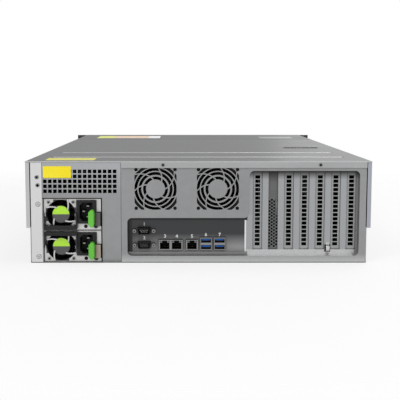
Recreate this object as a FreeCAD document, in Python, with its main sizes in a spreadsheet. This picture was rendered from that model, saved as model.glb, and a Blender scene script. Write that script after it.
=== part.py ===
import FreeCAD, Part
import math
import os
import re
import Sketcher
from FreeCAD import Placement, Rotation, Vector

# Storage server, three rack units high. Millimetres, Z up.
# X runs to the right as seen from the rear, Y from the rear panel to the drive bays at the front.
# The origin is the middle of the footprint, on the surface that the server stands on.
# Pieces are drawn with the outer face of the rear panel at Y = 0 and moved there by their Placement.

SIZES = {
    # overall
    "body_width": 434.0,        # over the side walls in the rail recess
    "skirt_width": 444.4,       # over the side walls above the rail recess
    "rail_height": 45.8,        # height of the rail recess
    "body_height": 132.0,       # three rack units less clearance
    "body_depth": 650.0,        # rear panel to the front of the rack ears
    "rear_reach": 12.0,         # release tabs behind the rear panel
    "front_reach": 36.0,        # pull handles in front of the ears
    "sheet": 1.2,               # folded steel
    "seat_gap": 0.2,            # between faces that rest or slide on each other
    "run_gap": 0.5,             # around sliding modules
    "turn_gap": 0.3,            # around pins, buttons and latches
    # rear panel
    "panel_seam": -99.6,
    "seam_gap": 0.4,
    "recess_depth": 11.0,
    "recess_radius": 6.0,
    "recess_bottom": 9.1,
    "io_left": -91.9,
    "io_top": 58.7,
    "slots_left": 65.6,
    "slot_margin": 8.3,         # last slot to the side of the recess
    "slots_top": 119.7,
    "shield_left": -90.6,
    "shield_right": 62.6,
    "shield_bottom": 12.4,
    "shield_top": 54.2,
    "shield_lap": 1.6,          # shield behind the edge of its window
    "shield_sheet": 0.6,
    "slot_first": 77.0,
    "slot_pitch": 20.32,
    "slot_count": 7,
    "slot_bar": 7.9,            # panel left between two slots
    "slot_low": 15.5,
    "slot_high": 118.2,
    # fan grilles in the rear panel
    "rear_fan_first": -55.3,
    "rear_fan_pitch": 80.1,
    "rear_fan_height": 96.4,
    "rear_fan_size": 60.0,
    "rear_fan_depth": 25.0,
    "rear_fan_bore": 28.4,
    "rear_fan_hub": 13.0,
    "rear_fan_hole_pitch": 50.0,
    "rear_fan_hole": 2.3,
    "grille_hub": 12.3,
    "grille_ring": 5.2,         # ring to ring
    "grille_slot": 3.7,
    "grille_web": 1.8,
    "grille_half": 27.0,
    "grille_start": 102.7,      # angle at which the first web leaves the hub
    "grille_swirl": 2.1,        # degrees that a web turns for each millimetre outwards
    # power supply bay
    "bay_left": -199.9,
    "bay_width": 75.0,
    "module_width": 73.5,
    "module_height": 40.0,
    "module_depth": 185.0,
    "module_gap": 0.45,
    "module_set_back": 1.0,     # face of a supply behind the rear panel
    "bay_shelf": 1.0,
    "plug_room": 10.0,          # behind a supply, up to the power board
    "hole_pitch": 6.4,
    "hole_size": 4.7,
    "hole_columns": 15,
    "hole_rows": 5,
    "hole_left": -199.65,
    "hole_bottom": 91.1,
    # power supply face, heights above the bottom of the module
    "supply_fan_x": -177.4,
    "supply_fan_size": 38.0,
    "supply_fan_depth": 25.0,
    "supply_fan_bore": 18.2,
    "supply_fan_hub": 10.0,
    "supply_window": 37.0,
    "face_sheet": 1.0,
    "guard_disc": 11.4,
    "guard_arm": 2.4,
    "guard_arm_offset": 9.6,
    "inlet_left": -157.3,
    "inlet_width": 25.6,
    "inlet_low": 8.0,
    "inlet_height": 30.2,
    "inlet_depth": 25.0,
    "inlet_proud": 2.0,
    "socket_left": -153.2,
    "socket_width": 16.6,
    "socket_height": 24.2,
    "socket_cut": 4.2,
    "socket_depth": 19.0,
    "contact_length": 13.0,
    "contact_wide": 4.0,
    "contact_thick": 2.0,
    "contact_spread": 7.0,
    "earth_x": -148.6,
    "phase_x": -143.0,
    "tab_left": -140.9,
    "tab_width": 6.8,
    "tab_low": 5.0,
    "tab_height": 21.8,
    "tab_slope": 3.0,
    "tab_root": 1.7,            # tab and leaf behind the rear panel's outer face, outwards
    "leaf_sheet": 1.0,
    "leaf_height": 17.5,
    "leaf_depth": 30.0,
    "latch_travel": 2.5,
    "lamp_x": -145.5,
    "lamp_height": 4.2,
    "lamp_radius": 2.4,
    "bail_width": 42.6,
    "bail_left": -198.9,
    "bail_reach": 17.7,         # pivot to the middle of the grip
    "bail_arm": 1.6,
    "bail_half": 1.2,           # half of the arm's other side
    "bail_out": 3.0,            # pivot in front of the rear panel
    "grip_half": 1.5,
    "grip_arm": 6.5,            # length of arm that the grip covers
    "pivot_radius": 0.9,
    "pivot_fit": 0.08,
    "lug_sheet": 1.1,
    "lug_half": 1.9,
    "edge_tongue": 1.6,         # card edge at the back of a supply
    "edge_reach": 7.5,
    "edge_left": -190.0,
    "edge_width": 55.0,
    "edge_height": 8.0,
    # top covers
    "cover_split": 466.0,
    "cover_travel": 16.0,
    "cover_lip": 12.0,
    "flange_bottom": 123.6,
    "flange_right": 216.0,
    "flange_gap": 0.3,
    "rib_first": 69.0,
    "rib_second": 150.0,
    "rib_inset": 22.0,
    "rib_width": 11.0,
    "rib_depth": 1.8,
    "finger_left": 139.5,
    "finger_width": 56.3,
    "finger_place": 254.0,
    "finger_length": 22.0,
    "finger_depth": 8.0,
    "finger_radius": 5.0,
    "tongue_half": 200.0,
    "tongue_reach": 12.0,
    "tongue_root": 8.0,
    "tongue_drop": 0.3,
    # drive bays and carriers
    "bay_columns": 4,
    "bay_rows": 4,
    "column_pitch": 106.4,
    "row_pitch": 31.4,
    "cage_depth": 172.0,
    "cage_ledge": 12.0,
    "cage_strip": 10.0,
    "drive_width": 101.6,
    "drive_height": 26.1,
    "drive_length": 147.0,
    "tray_floor": 1.0,
    "tray_rail": 15.0,
    "bezel_depth": 14.0,
    "bezel_proud": 3.0,
    "lever_left": 14.0,
    "lever_margin": 4.0,
    "lever_thick": 5.0,
    "lever_pocket": 6.0,
    "vent_width": 12.0,
    "vent_pitch": 15.0,
    "vent_count": 5,
    "vent_rim": 3.2,
    "push_width": 7.0,
    "push_height": 11.0,
    "push_proud": 1.2,
    "backplane_thick": 2.4,
    "backplane_margin": 2.0,
    "plug_width": 42.0,
    "plug_height": 7.0,
    "plug_low": 7.0,
    "draught_width": 84.0,
    "draught_height": 9.0,
    # middle fan wall
    "wall_place": 418.0,
    "wall_foot": 14.0,
    "wall_fan_pitch": 130.0,
    "wall_fan_count": 3,
    "wall_fan_height": 65.5,
    "wall_fan_size": 120.0,
    "wall_fan_depth": 38.0,
    "wall_fan_bore": 57.0,
    "wall_fan_hub": 21.0,
    "tip_gap": 1.0,             # blade tips to the bore
    "strut_width": 3.5,
    "strut_depth": 4.0,
    "cup_gap": 0.4,             # rotor to motor cup, along the axle
    # main board
    "board_left": -95.5,
    "board_width": 305.0,
    "board_length": 305.0,
    "board_gap": 0.6,           # main board behind the shield
    "board_top": 14.9,
    "board_thick": 1.6,
    "standoff_radius": 3.0,
    "standoff_inset": 10.0,
    "socket_place": 60.0,
    "socket_length": 89.0,
    "socket_tall": 11.0,
    "socket_wide": 7.5,
    "socket_groove": 8.0,
    "card_offset": 3.0,         # card board beside the middle of its bracket
    "cooler_first": -45.0,
    "cooler_pitch": 130.0,
    "cooler_place": 235.0,
    "cooler_size": 80.0,
    "cooler_base": 7.0,
    "cooler_tall": 64.0,
    "cooler_fins": 12,
    "fin_thick": 1.0,
    "chip_height": 8.0,
    "memory_first": 6.0,
    "memory_pitch": 9.5,
    "memory_each": 4,
    "memory_place": 165.0,
    "memory_length": 133.4,
    "memory_tall": 31.0,
    "memory_thick": 1.3,
    "memory_seat": 142.0,
    "memory_wide": 6.5,
    "memory_rise": 8.0,
    # expansion slots
    "bracket_gap": 1.9,
    "bracket_sheet": 0.9,
    "bracket_tab": 11.0,
    "cover_vent_wide": 6.4,
    "cover_vent_tall": 4.3,
    "cover_vent_pitch": 5.5,
    "cover_vent_low": 20.45,
    "cover_vent_count": 17,
    "card_slot": 1,
    "pore_radius": 1.75,
    "pore_pitch": 3.1,
    "pore_rise": 4.2,
    "pore_low": 19.7,
    "pore_rows": 16,
    "card_length": 167.0,
    "card_low": 27.0,
    "card_high": 118.0,
    "card_thick": 1.6,
    # board connectors, places of the middles
    "port_proud": 2.6,          # sockets through the shield
    "dsub_x": -70.8,
    "dsub_width": 31.0,
    "dsub_upper": 40.4,
    "dsub_lower": 21.5,
    "dsub_shell_wide": 17.0,
    "dsub_shell_tall": 8.4,
    "dsub_slant": 0.9,
    "dsub_wall": 0.9,
    "dsub_proud": 5.5,
    "dsub_deep": 16.0,
    "net_first": -44.0,
    "net_second": -28.4,
    "net_third": -8.35,
    "net_width": 15.9,
    "net_tall": 13.4,
    "net_depth": 21.0,
    "net_mouth_wide": 11.8,
    "net_mouth_tall": 8.2,
    "net_mouth_deep": 13.0,
    "net_key_wide": 6.2,
    "net_key_tall": 2.6,
    "net_lip": 1.4,             # shell below the mouth
    "usb_first": 10.0,
    "usb_second": 27.8,
    "usb_width": 14.9,
    "usb_tall": 16.4,
    "usb_depth": 17.5,
    "usb_upper": 27.3,
    "usb_lower": 18.7,
    "usb_mouth_wide": 13.1,
    "usb_mouth_tall": 5.5,
    "usb_mouth_deep": 12.0,
    "usb_tongue_wide": 11.4,
    "usb_tongue_tall": 1.9,
    "port_gap": 0.3,
    # front
    "ear_width": 482.6,
    "ear_sheet": 3.0,
    "ear_arm": 2.0,
    "ear_arm_length": 40.0,
    "ear_slot_x": 232.55,
    "ear_slot_spread": 57.15,
    "ear_slot_half": 3.4,
    "ear_slot_length": 10.3,
    "handle_low": 10.0,
    "handle_high": 88.0,
    "handle_wide": 4.0,
    "handle_bar": 9.0,
    "handle_post": 9.0,
    "handle_bend": 7.0,
    "handle_inset": 0.5,
    "control_low": 103.0,
    "control_high": 128.0,
    "control_depth": 9.0,
    "control_inset": 1.8,
    "power_radius": 4.0,
    "power_height": 120.0,
    "reset_radius": 1.9,
    "reset_height": 109.0,
    "button_length": 6.0,
    "button_proud": 1.2,
    "button_travel": 1.2,
}

REAR = "(rear_reach - (rear_reach + body_depth + front_reach) / 2)"
COVER_UNDER = "(body_height - sheet)"
WALL_TOP = "(body_height - sheet - seat_gap)"
INNER_LOW = "(body_width / 2 - sheet)"
SKIRT = "(skirt_width / 2)"
RECESS_BACK = "(recess_depth + sheet)"
BAY_RIGHT = "(bay_left + bay_width)"
MODULE_LEFT = "(bay_left + (bay_width - module_width) / 2)"
MODULE_RIGHT = "(bay_left + (bay_width + module_width) / 2)"
MODULE_BACK = "(module_set_back + module_depth)"
LOWER_BAY_TOP = "(sheet + module_height + 2 * module_gap)"
UPPER_BAY = "(sheet + module_height + 2 * module_gap + bay_shelf)"
BAY_TOP = "(sheet + 2 * module_height + 4 * module_gap + bay_shelf)"
LOWER_MODULE = "(sheet + module_gap)"
UPPER_MODULE = f"({UPPER_BAY} + module_gap)"
SUPPLY_FAN_Z = "(module_height / 2)"
CAGE_REAR = "(body_depth - cage_depth)"
CAGE_WIDTH = "(bay_columns * column_pitch + sheet)"
CAGE_HEIGHT = "(bay_rows * row_pitch + sheet)"
CARRIER_WIDTH = "(column_pitch - sheet - 2 * run_gap)"
CARRIER_HEIGHT = "(row_pitch - sheet - 2 * run_gap)"
DRIVE_BACK = "(bezel_depth - bezel_proud + seat_gap + drive_length)"
SLOTS_RIGHT = "(slot_first + (slot_count - 1) * slot_pitch + slot_margin)"
SLOT_WIDTH = "(slot_pitch - slot_bar)"
BRACKET_WIDTH = "(slot_pitch - bracket_gap)"
BAY_DEPTH = "(module_set_back + module_depth + plug_room)"
BOARD_START = "(recess_depth + sheet + shield_sheet + board_gap)"
PORT_FRONT = "(recess_depth + sheet - port_proud)"
SLOT_TOP = "(slots_top + sheet)"
CARD_X = "(slot_first + card_slot * slot_pitch + card_offset)"

doc = FreeCAD.newDocument("storage_server")
sheet = doc.addObject("Spreadsheet::Sheet", "Sizes")
for row, (alias, value) in enumerate(SIZES.items(), 1):
    sheet.set(f"A{row}", alias)
    sheet.set(f"B{row}", str(value))
    sheet.setAlias(f"B{row}", alias)
doc.recompute()

nodes = []
WORD = re.compile(r"\b[a-z]\w*\b")
BLADE_PITCH = 40
BLADE_COUNT = 7
HUB_SIDES = 21
TURN_TO = {"X": Rotation(Vector(0, 1, 0), 90), "Y": Rotation(Vector(1, 0, 0), -90), "Z": Rotation()}


# Expressions

def bound(text):
    return WORD.sub(lambda word: "Sizes." + word.group() if word.group() in SIZES else word.group(), text)


def number(text):
    return float(sheet.evalExpression(bound(text)))


def bind(piece, expressions):
    for name, text in expressions.items():
        piece.setExpression(name, bound(text))


def place(piece, x="0", y="0", z="0", turn=None):
    if turn is not None:
        piece.Placement = Placement(Vector(), turn)
    bind(piece, {"Placement.Base.x": x, "Placement.Base.y": y, "Placement.Base.z": z})
    return piece


# Solids and booleans

def box(label, x, y, z):
    piece = doc.addObject("Part::Box", label)
    sides = zip(("Length", "Width", "Height"), (x, y, z))
    bind(piece, {side: f"({high}) - ({low})" for side, (low, high) in sides})
    return place(piece, x[0], y[0], z[0])


def cylinder(label, axis, start, radius, length):
    piece = doc.addObject("Part::Cylinder", label)
    bind(piece, {"Radius": radius, "Height": length})
    return place(piece, *start, turn=TURN_TO[axis])


def middle(centre, size):
    return f"({centre}) - ({size}) / 2", f"({centre}) + ({size}) / 2"


def group(label, pieces):
    piece = doc.addObject("Part::Compound", label)
    piece.Links = pieces
    return piece


def cut(label, base, tools):
    piece = doc.addObject("Part::Cut", label)
    piece.Base = base
    piece.Tool = tools[0] if len(tools) == 1 else group(f"{label}_tools", tools)
    return piece


def fuse(label, pieces):
    piece = doc.addObject("Part::MultiFuse", label)
    piece.Shapes = pieces
    piece.Refine = True
    return piece


def copy(label, piece, x="0", y="0", z="0", turn=None):
    return place(group(label, [piece]), x, y, z, turn)


def made(label, shape):
    piece = doc.addObject("Part::Feature", label)
    piece.Shape = shape
    return piece


def node(piece, x="0", y="0", z="0", turn=None):
    place(piece, x, f"{REAR} + {y}", z, turn)
    nodes.append(piece)
    return piece


# Bodies with sketches

def rectangle(left, low, right, high):
    return [(left, low), (right, low), (right, high), (left, high)]


def draw_outline(sketch, points):
    first = sketch.GeometryCount
    corners = [Vector(number(across), number(up), 0) for across, up in points]
    count = len(points)
    for index, corner in enumerate(corners):
        sketch.addGeometry(Part.LineSegment(corner, corners[(index + 1) % count]), False)
    for index in range(count):
        following = first + (index + 1) % count
        sketch.addConstraint(Sketcher.Constraint("Coincident", first + index, 2, following, 1))
    for index, (across, up) in enumerate(points):
        for kind, text, value in (("DistanceX", across, corners[index].x),
                                  ("DistanceY", up, corners[index].y)):
            datum = sketch.addConstraint(Sketcher.Constraint(kind, first + index, 1, value))
            bind(sketch, {f"Constraints[{datum}]": text})


def draw_circle(sketch, across, up, radius):
    centre = Vector(number(across), number(up), 0)
    circle = sketch.addGeometry(Part.Circle(centre, Vector(0, 0, 1), number(radius)), False)
    for kind, text, value in (("DistanceX", across, centre.x), ("DistanceY", up, centre.y)):
        datum = sketch.addConstraint(Sketcher.Constraint(kind, circle, 3, value))
        bind(sketch, {f"Constraints[{datum}]": text})
    datum = sketch.addConstraint(Sketcher.Constraint("Radius", circle, number(radius)))
    bind(sketch, {f"Constraints[{datum}]": radius})


# A Pad or Pocket from start along the plane's own positive axis, with polygons and circles
def feature(body, kind, plane, name, start, length, outlines=(), circles=()):
    sketch = body.newObject("Sketcher::SketchObject", f"{name}_sketch")
    origin_plane = next(each for each in body.Origin.OriginFeatures if each.Role == f"{plane}_Plane")
    sketch.AttachmentSupport = [(origin_plane, "")]
    sketch.MapMode = "FlatFace"
    against = plane == "XZ"
    bind(sketch, {"AttachmentOffset.Base.z": f"-({start})" if against else start})
    for points in outlines:
        draw_outline(sketch, points)
    for circle in circles:
        draw_circle(sketch, *circle)
    result = body.newObject(f"PartDesign::{kind}", name)
    result.Profile = sketch
    bind(result, {"Length": length})
    result.Reversed = against == (kind == "Pad")
    return result


# Rows of a feature along its sketch's axes, each row as (axis, pitch, count)
def pattern(body, original, rows):
    doc.recompute()
    whole = body.newObject("PartDesign::MultiTransform", f"{original.Name}_pattern")
    whole.Originals = [original]
    steps = []
    for axis, pitch, count in rows:
        step = body.newObject("PartDesign::LinearPattern", f"{original.Name}_{axis}")
        step.Direction = (original.Profile[0], [axis])
        bind(step, {"Length": f"({pitch}) * (({count}) - 1)", "Occurrences": count})
        steps.append(step)
    whole.Transformations = steps
    body.Tip = whole
    doc.recompute()
    return whole


# Round the edges of a body that run along one axis through the given points of the other two
def round_edges(body, name, axis, points, radius):
    doc.recompute()
    places = [(number(first), number(second)) for first, second in points]
    flat = {"X": ("y", "z"), "Y": ("x", "z"), "Z": ("x", "y")}[axis]
    found = []
    for index, edge in enumerate(body.Tip.Shape.Edges, 1):
        ends = [vertex.Point for vertex in edge.Vertexes]
        if len(ends) != 2 or edge.Curve.TypeId != "Part::GeomLine":
            continue
        spots = [(getattr(end, flat[0]), getattr(end, flat[1])) for end in ends]
        if any(all(math.dist(spot, spot_wanted) < 0.01 for spot in spots) for spot_wanted in places):
            found.append(f"Edge{index}")
    if not found:
        raise RuntimeError(f"{name}: no edge to round")
    base = body.Tip
    result = body.newObject("PartDesign::Fillet", name)
    result.Base = (base, found)
    bind(result, {"Radius": radius})
    doc.recompute()
    return result


def new_body(label):
    return doc.addObject("PartDesign::Body", label)


# Chassis: floor and side walls from one folded sheet, with a step out above the slide rails

def chassis_base():
    body = new_body("chassis_base")
    low = "body_width / 2"
    right = [(low, "0"), (low, "rail_height"), (SKIRT, "rail_height"), (SKIRT, WALL_TOP),
             (f"{SKIRT} - sheet", WALL_TOP), (f"{SKIRT} - sheet", "rail_height + sheet"),
             (INNER_LOW, "rail_height + sheet"), (INNER_LOW, "sheet")]
    left = [(f"-({across})", up) for across, up in reversed(right)]
    feature(body, "Pad", "XZ", "folded_sheet", "0", "body_depth", [right + left])
    ends = [rectangle(low, "rail_height", SKIRT, WALL_TOP),
            rectangle(f"-{SKIRT}", "rail_height", f"-{low}", WALL_TOP)]
    feature(body, "Pad", "XZ", "skirt_ends", "0", "sheet", ends)
    node(body)


# Rear panel: a plate with an L-shaped recess for the board's sockets and the slots

def recess_corners(grow):
    return [(f"io_left - {grow}", f"recess_bottom - {grow}"),
            (f"{SLOTS_RIGHT} + {grow}", f"recess_bottom - {grow}"),
            (f"{SLOTS_RIGHT} + {grow}", f"slots_top + {grow}"),
            (f"slots_left - {grow}", f"slots_top + {grow}"),
            (f"slots_left - {grow}", f"io_top + {grow}"), (f"io_left - {grow}", f"io_top + {grow}")]


def slot_x(index):
    return f"(slot_first + {index} * slot_pitch)"


def rear_panel():
    body = new_body("rear_panel_sheet")
    feature(body, "Pad", "XZ", "panel_plate", "0", "sheet",
            [rectangle("panel_seam", "sheet", INNER_LOW, WALL_TOP)])
    feature(body, "Pad", "XZ", "recess_tub", "0", RECESS_BACK, [recess_corners("sheet")])
    feature(body, "Pocket", "XZ", "recess_hollow", "0", "recess_depth", [recess_corners("0")])
    inner = recess_corners("0")
    outer = recess_corners("sheet")
    bend = 4
    tight = [corner for index, corner in enumerate(inner) if index != bend] + [outer[bend]]
    wide = [corner for index, corner in enumerate(outer) if index != bend] + [inner[bend]]
    round_edges(body, "recess_tight_bends", "Y", tight, "recess_radius")
    round_edges(body, "recess_wide_bends", "Y", wide, "recess_radius + sheet")
    window = rectangle("shield_left", "shield_bottom", "shield_right", "shield_top")
    feature(body, "Pocket", "XZ", "shield_window", "recess_depth", "sheet", [window])
    left, right = middle(slot_x(0), SLOT_WIDTH)
    slot = feature(body, "Pocket", "XZ", "slot_window", "recess_depth", "sheet",
                   [rectangle(left, "slot_low", right, "slot_high")])
    pattern(body, slot, [("H_Axis", "slot_pitch", "slot_count")])
    tools = []
    for index in range(2):
        centre = f"rear_fan_first + {index} * rear_fan_pitch"
        tools.append(place(made(f"grille_{index + 1}", grille_slots()), centre, "0", "rear_fan_height"))
        for across in (-1, 1):
            for up in (-1, 1):
                start = (f"{centre} + {across} * rear_fan_hole_pitch / 2", "-sheet",
                         f"rear_fan_height + {up} * rear_fan_hole_pitch / 2")
                tools.append(cylinder(f"fan_hole_{index}_{across + 1}_{up + 1}", "Y", start,
                                      "rear_fan_hole", "3 * sheet"))
    node(cut("rear_panel", body, tools))


# Slots of one swirl grille: rings divided by webs that turn as they run outwards
def grille_slots():
    hub, ring, slot = number("grille_hub"), number("grille_ring"), number("grille_slot")
    web, half = number("grille_web"), number("grille_half")
    start, swirl = number("grille_start"), number("grille_swirl")
    thick = number("sheet")
    web_count = 7
    ring_count = 4

    def point(radius, angle):
        return Vector(radius * math.cos(math.radians(angle)), -thick,
                      radius * math.sin(math.radians(angle)))

    solids = []
    for ring_index in range(ring_count):
        inner = hub + ring_index * ring + (ring - slot) * (ring_index > 0) / 2
        outer = inner + slot
        for web_index in range(web_count):
            sides = []
            for radius in (inner, outer):
                lean = start + swirl * (radius - hub) + web_index * 360 / web_count
                clear = math.degrees(math.asin(web / 2 / radius))
                sides.append((lean + clear, lean + 360 / web_count - clear))
            (low_in, high_in), (low_out, high_out) = sides
            rim_in = Part.Arc(point(inner, low_in), point(inner, (low_in + high_in) / 2),
                              point(inner, high_in))
            rim_out = Part.Arc(point(outer, high_out), point(outer, (low_out + high_out) / 2),
                               point(outer, low_out))
            edges = [rim_in.toShape(), Part.LineSegment(point(inner, high_in),
                                                        point(outer, high_out)).toShape(),
                     rim_out.toShape(), Part.LineSegment(point(outer, low_out),
                                                         point(inner, low_in)).toShape()]
            solids.append(Part.Face(Part.Wire(edges)).extrude(Vector(0, 3 * thick, 0)))
    frame = Part.makeBox(2 * half, 5 * thick, 2 * half, Vector(-half, -2 * thick, -half))
    kept = []
    for solid in solids:
        kept += solid.common(frame).Solids
    smallest = slot * slot * thick
    return Part.makeCompound([solid for solid in kept if solid.Volume > smallest])


def psu_bay_panel():
    body = new_body("psu_bay_panel")
    left, right = f"-{INNER_LOW}", "panel_seam - seam_gap"
    outline = [(left, "sheet"), ("bay_left", "sheet"), ("bay_left", BAY_TOP), (BAY_RIGHT, BAY_TOP),
               (BAY_RIGHT, "sheet"), (right, "sheet"), (right, WALL_TOP), (left, WALL_TOP)]
    feature(body, "Pad", "XZ", "bay_plate", "0", "sheet", [outline])
    hole = rectangle("hole_left", "hole_bottom", "hole_left + hole_size", "hole_bottom + hole_size")
    first = feature(body, "Pocket", "XZ", "square_hole", "0", "sheet", [hole])
    pattern(body, first, [("H_Axis", "hole_pitch", "hole_columns"),
                          ("V_Axis", "hole_pitch", "hole_rows")])
    node(body)


# Power supply cage, its board, and the two supplies

def psu_cage():
    across = ("bay_left", BAY_RIGHT)
    along = ("0", f"{BAY_DEPTH} + sheet")
    outer = box("cage_block", ("bay_left - sheet", f"{BAY_RIGHT} + sheet"), ("sheet", BAY_DEPTH),
                ("sheet", f"{BAY_TOP} + sheet"))
    lower = box("lower_bay", across, along, ("0", LOWER_BAY_TOP))
    upper = box("upper_bay", across, along, (UPPER_BAY, BAY_TOP))
    node(cut("psu_cage", outer, [lower, upper]))


def power_board():
    board = box("power_sheet", ("bay_left", BAY_RIGHT),
                (f"{BAY_DEPTH} + seat_gap", f"{BAY_DEPTH} + seat_gap + 2 * sheet"),
                ("sheet", BAY_TOP))
    edge = ("edge_left", "edge_left + edge_width")
    rise = ("edge_height", "edge_height + edge_tongue")
    pieces = [board]
    for name, base in (("lower", LOWER_MODULE), ("upper", UPPER_MODULE)):
        slack = "2 * run_gap"
        block = box(f"{name}_plug", (f"{edge[0]} - 3 * {slack}", f"{edge[1]} + 3 * {slack}"),
                    (f"{MODULE_BACK} + seat_gap", f"{BAY_DEPTH} + seat_gap"),
                    (f"{base} + {rise[0]} - 3 * {slack}", f"{base} + {rise[1]} + 3 * {slack}"))
        mouth = box(f"{name}_plug_mouth", (f"{edge[0]} - run_gap", f"{edge[1]} + run_gap"),
                    (MODULE_BACK, f"{MODULE_BACK} + edge_reach + run_gap"),
                    (f"{base} + {rise[0]} - run_gap", f"{base} + {rise[1]} + run_gap"))
        pieces.append(cut(f"{name}_connector", block, [mouth]))
    node(group("power_board", pieces))


# Face opening of a supply: a round window less a disc held by four arms set off from the middle
def supply_window():
    face = ("module_set_back - face_sheet", "module_set_back + 2 * face_sheet")
    deep = f"({face[1]}) - ({face[0]})"
    opening = cylinder("fan_opening", "Y", ("0", face[0], "0"), "supply_window / 2", deep)
    guard = [cylinder("guard_plate", "Y", ("0", face[0], "0"), "guard_disc", deep)]
    for index in range(4):
        arm = box(f"guard_arm_{index}", middle("guard_arm_offset", "guard_arm"), face,
                  ("0", "supply_window / 2"))
        guard.append(copy(f"guard_quarter_{index}", arm, turn=Rotation(Vector(0, 1, 0), 90 * index)))
    return place(cut("guard_window", opening, [fuse("guard_metal", guard)]), "supply_fan_x", "0",
                 SUPPLY_FAN_Z)


def supply_case():
    block = box("case_block", (MODULE_LEFT, MODULE_RIGHT), ("module_set_back", MODULE_BACK),
                ("0", "module_height"))
    hollow = "supply_fan_size + 2 * seat_gap"
    cavity = box("fan_cavity", middle("supply_fan_x", hollow),
                 ("module_set_back + face_sheet", "leaf_depth + 4 * sheet"), middle(SUPPLY_FAN_Z, hollow))
    inside = box("case_inside", (f"{MODULE_LEFT} + sheet", f"{MODULE_RIGHT} - sheet"),
                 ("leaf_depth + turn_gap + 2 * sheet", f"{MODULE_BACK} - sheet"),
                 ("sheet", "module_height - sheet"))
    inlet = box("inlet_hole", ("inlet_left - seat_gap", "inlet_left + inlet_width + seat_gap"),
                ("0", "inlet_depth - inlet_proud + module_set_back + seat_gap"),
                ("inlet_low - seat_gap", "inlet_low + inlet_height + seat_gap"))
    leaf_in = f"{MODULE_RIGHT} - 2 * leaf_sheet - latch_travel - turn_gap"
    channel = box("leaf_channel", (leaf_in, f"{MODULE_RIGHT} + sheet"), ("0", "leaf_depth + turn_gap"),
                  ("tab_low - turn_gap", "tab_low + leaf_height + turn_gap"))
    lamp = cylinder("lamp_hole", "Y", ("lamp_x", "0", "lamp_height"), "lamp_radius", "5 * sheet")
    shell = cut("case_shell", block, [cavity, inside, inlet, channel, lamp, supply_window()])
    lugs = []
    for index, left in enumerate(("bail_left + bail_arm + seat_gap",
                                  "bail_left + bail_width - bail_arm - seat_gap - lug_sheet")):
        plate = box(f"lug_plate_{index}", (left, f"{left} + lug_sheet"),
                    ("-(bail_out + lug_half)", "module_set_back"),
                    middle(SUPPLY_FAN_Z, "2 * lug_half"))
        eye = cylinder(f"lug_eye_{index}", "X", (f"{left} - sheet", "-bail_out", SUPPLY_FAN_Z),
                       "pivot_radius + pivot_fit", "4 * sheet")
        lugs.append(cut(f"bail_lug_{index}", plate, [eye]))
    case = fuse("case_with_lugs", [shell] + lugs)
    edge = box("card_edge", ("edge_left", "edge_left + edge_width"),
               (MODULE_BACK, f"{MODULE_BACK} + edge_reach"),
               ("edge_height", "edge_height + edge_tongue"))
    return group("supply_case", [case, edge])


# Power inlet turned on its side: a block with a chamfered socket and three contacts
def supply_inlet():
    body = new_body("supply_inlet")
    front = "module_set_back - inlet_proud"
    floor = f"{front} + socket_depth"
    centre = "(inlet_low + inlet_height / 2)"
    block = rectangle("inlet_left", "inlet_low", "inlet_left + inlet_width", "inlet_low + inlet_height")
    feature(body, "Pad", "XZ", "inlet_block", front, "inlet_depth", [block])
    right = "socket_left + socket_width"
    low, high = middle(centre, "socket_height")
    socket = [(right, low), (right, high), ("socket_left + socket_cut", high),
              ("socket_left", f"{high} - socket_cut"),
              ("socket_left", f"{low} + socket_cut"), ("socket_left + socket_cut", low)]
    feature(body, "Pocket", "XZ", "inlet_socket", front, "socket_depth", [socket])
    contacts = []
    for across, up in (("earth_x", centre), ("phase_x", f"{centre} + contact_spread"),
                       ("phase_x", f"{centre} - contact_spread")):
        left, near = middle(across, "contact_wide")[0], middle(up, "contact_thick")[0]
        contacts.append(rectangle(left, near, f"{left} + contact_wide", f"{near} + contact_thick"))
    feature(body, "Pad", "XZ", "inlet_contacts", f"{floor} - contact_length", "contact_length", contacts)
    return body


# Release latch: a sloped tab on a leaf spring that runs back along the side of the supply
def supply_latch():
    tab = new_body("latch_tab")
    right, high = "tab_left + tab_width", "tab_low + tab_height"
    outline = [("tab_left", "tab_low + tab_slope"), ("tab_left + tab_slope", "tab_low"),
               (right, "tab_low"),
               (right, f"{high} - tab_slope / 2"), (f"{right} - tab_slope / 2", high),
               ("tab_left + tab_slope", high),
               ("tab_left", f"{high} - tab_slope")]
    feature(tab, "Pad", "XZ", "tab_block", "-rear_reach", "rear_reach - tab_root", [outline])
    leaf = new_body("latch_leaf")
    edge = f"{MODULE_RIGHT} - leaf_sheet / 2"
    near, far = "-(tab_root + leaf_sheet)", "-tab_root"
    bent = [(right, near), (edge, near), (edge, "leaf_depth"), (f"{edge} - leaf_sheet", "leaf_depth"),
            (f"{edge} - leaf_sheet", far), (right, far)]
    feature(leaf, "Pad", "XY", "leaf_strip", "tab_low", "leaf_height", [bent])
    return group("supply_latch", [tab, leaf])


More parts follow.
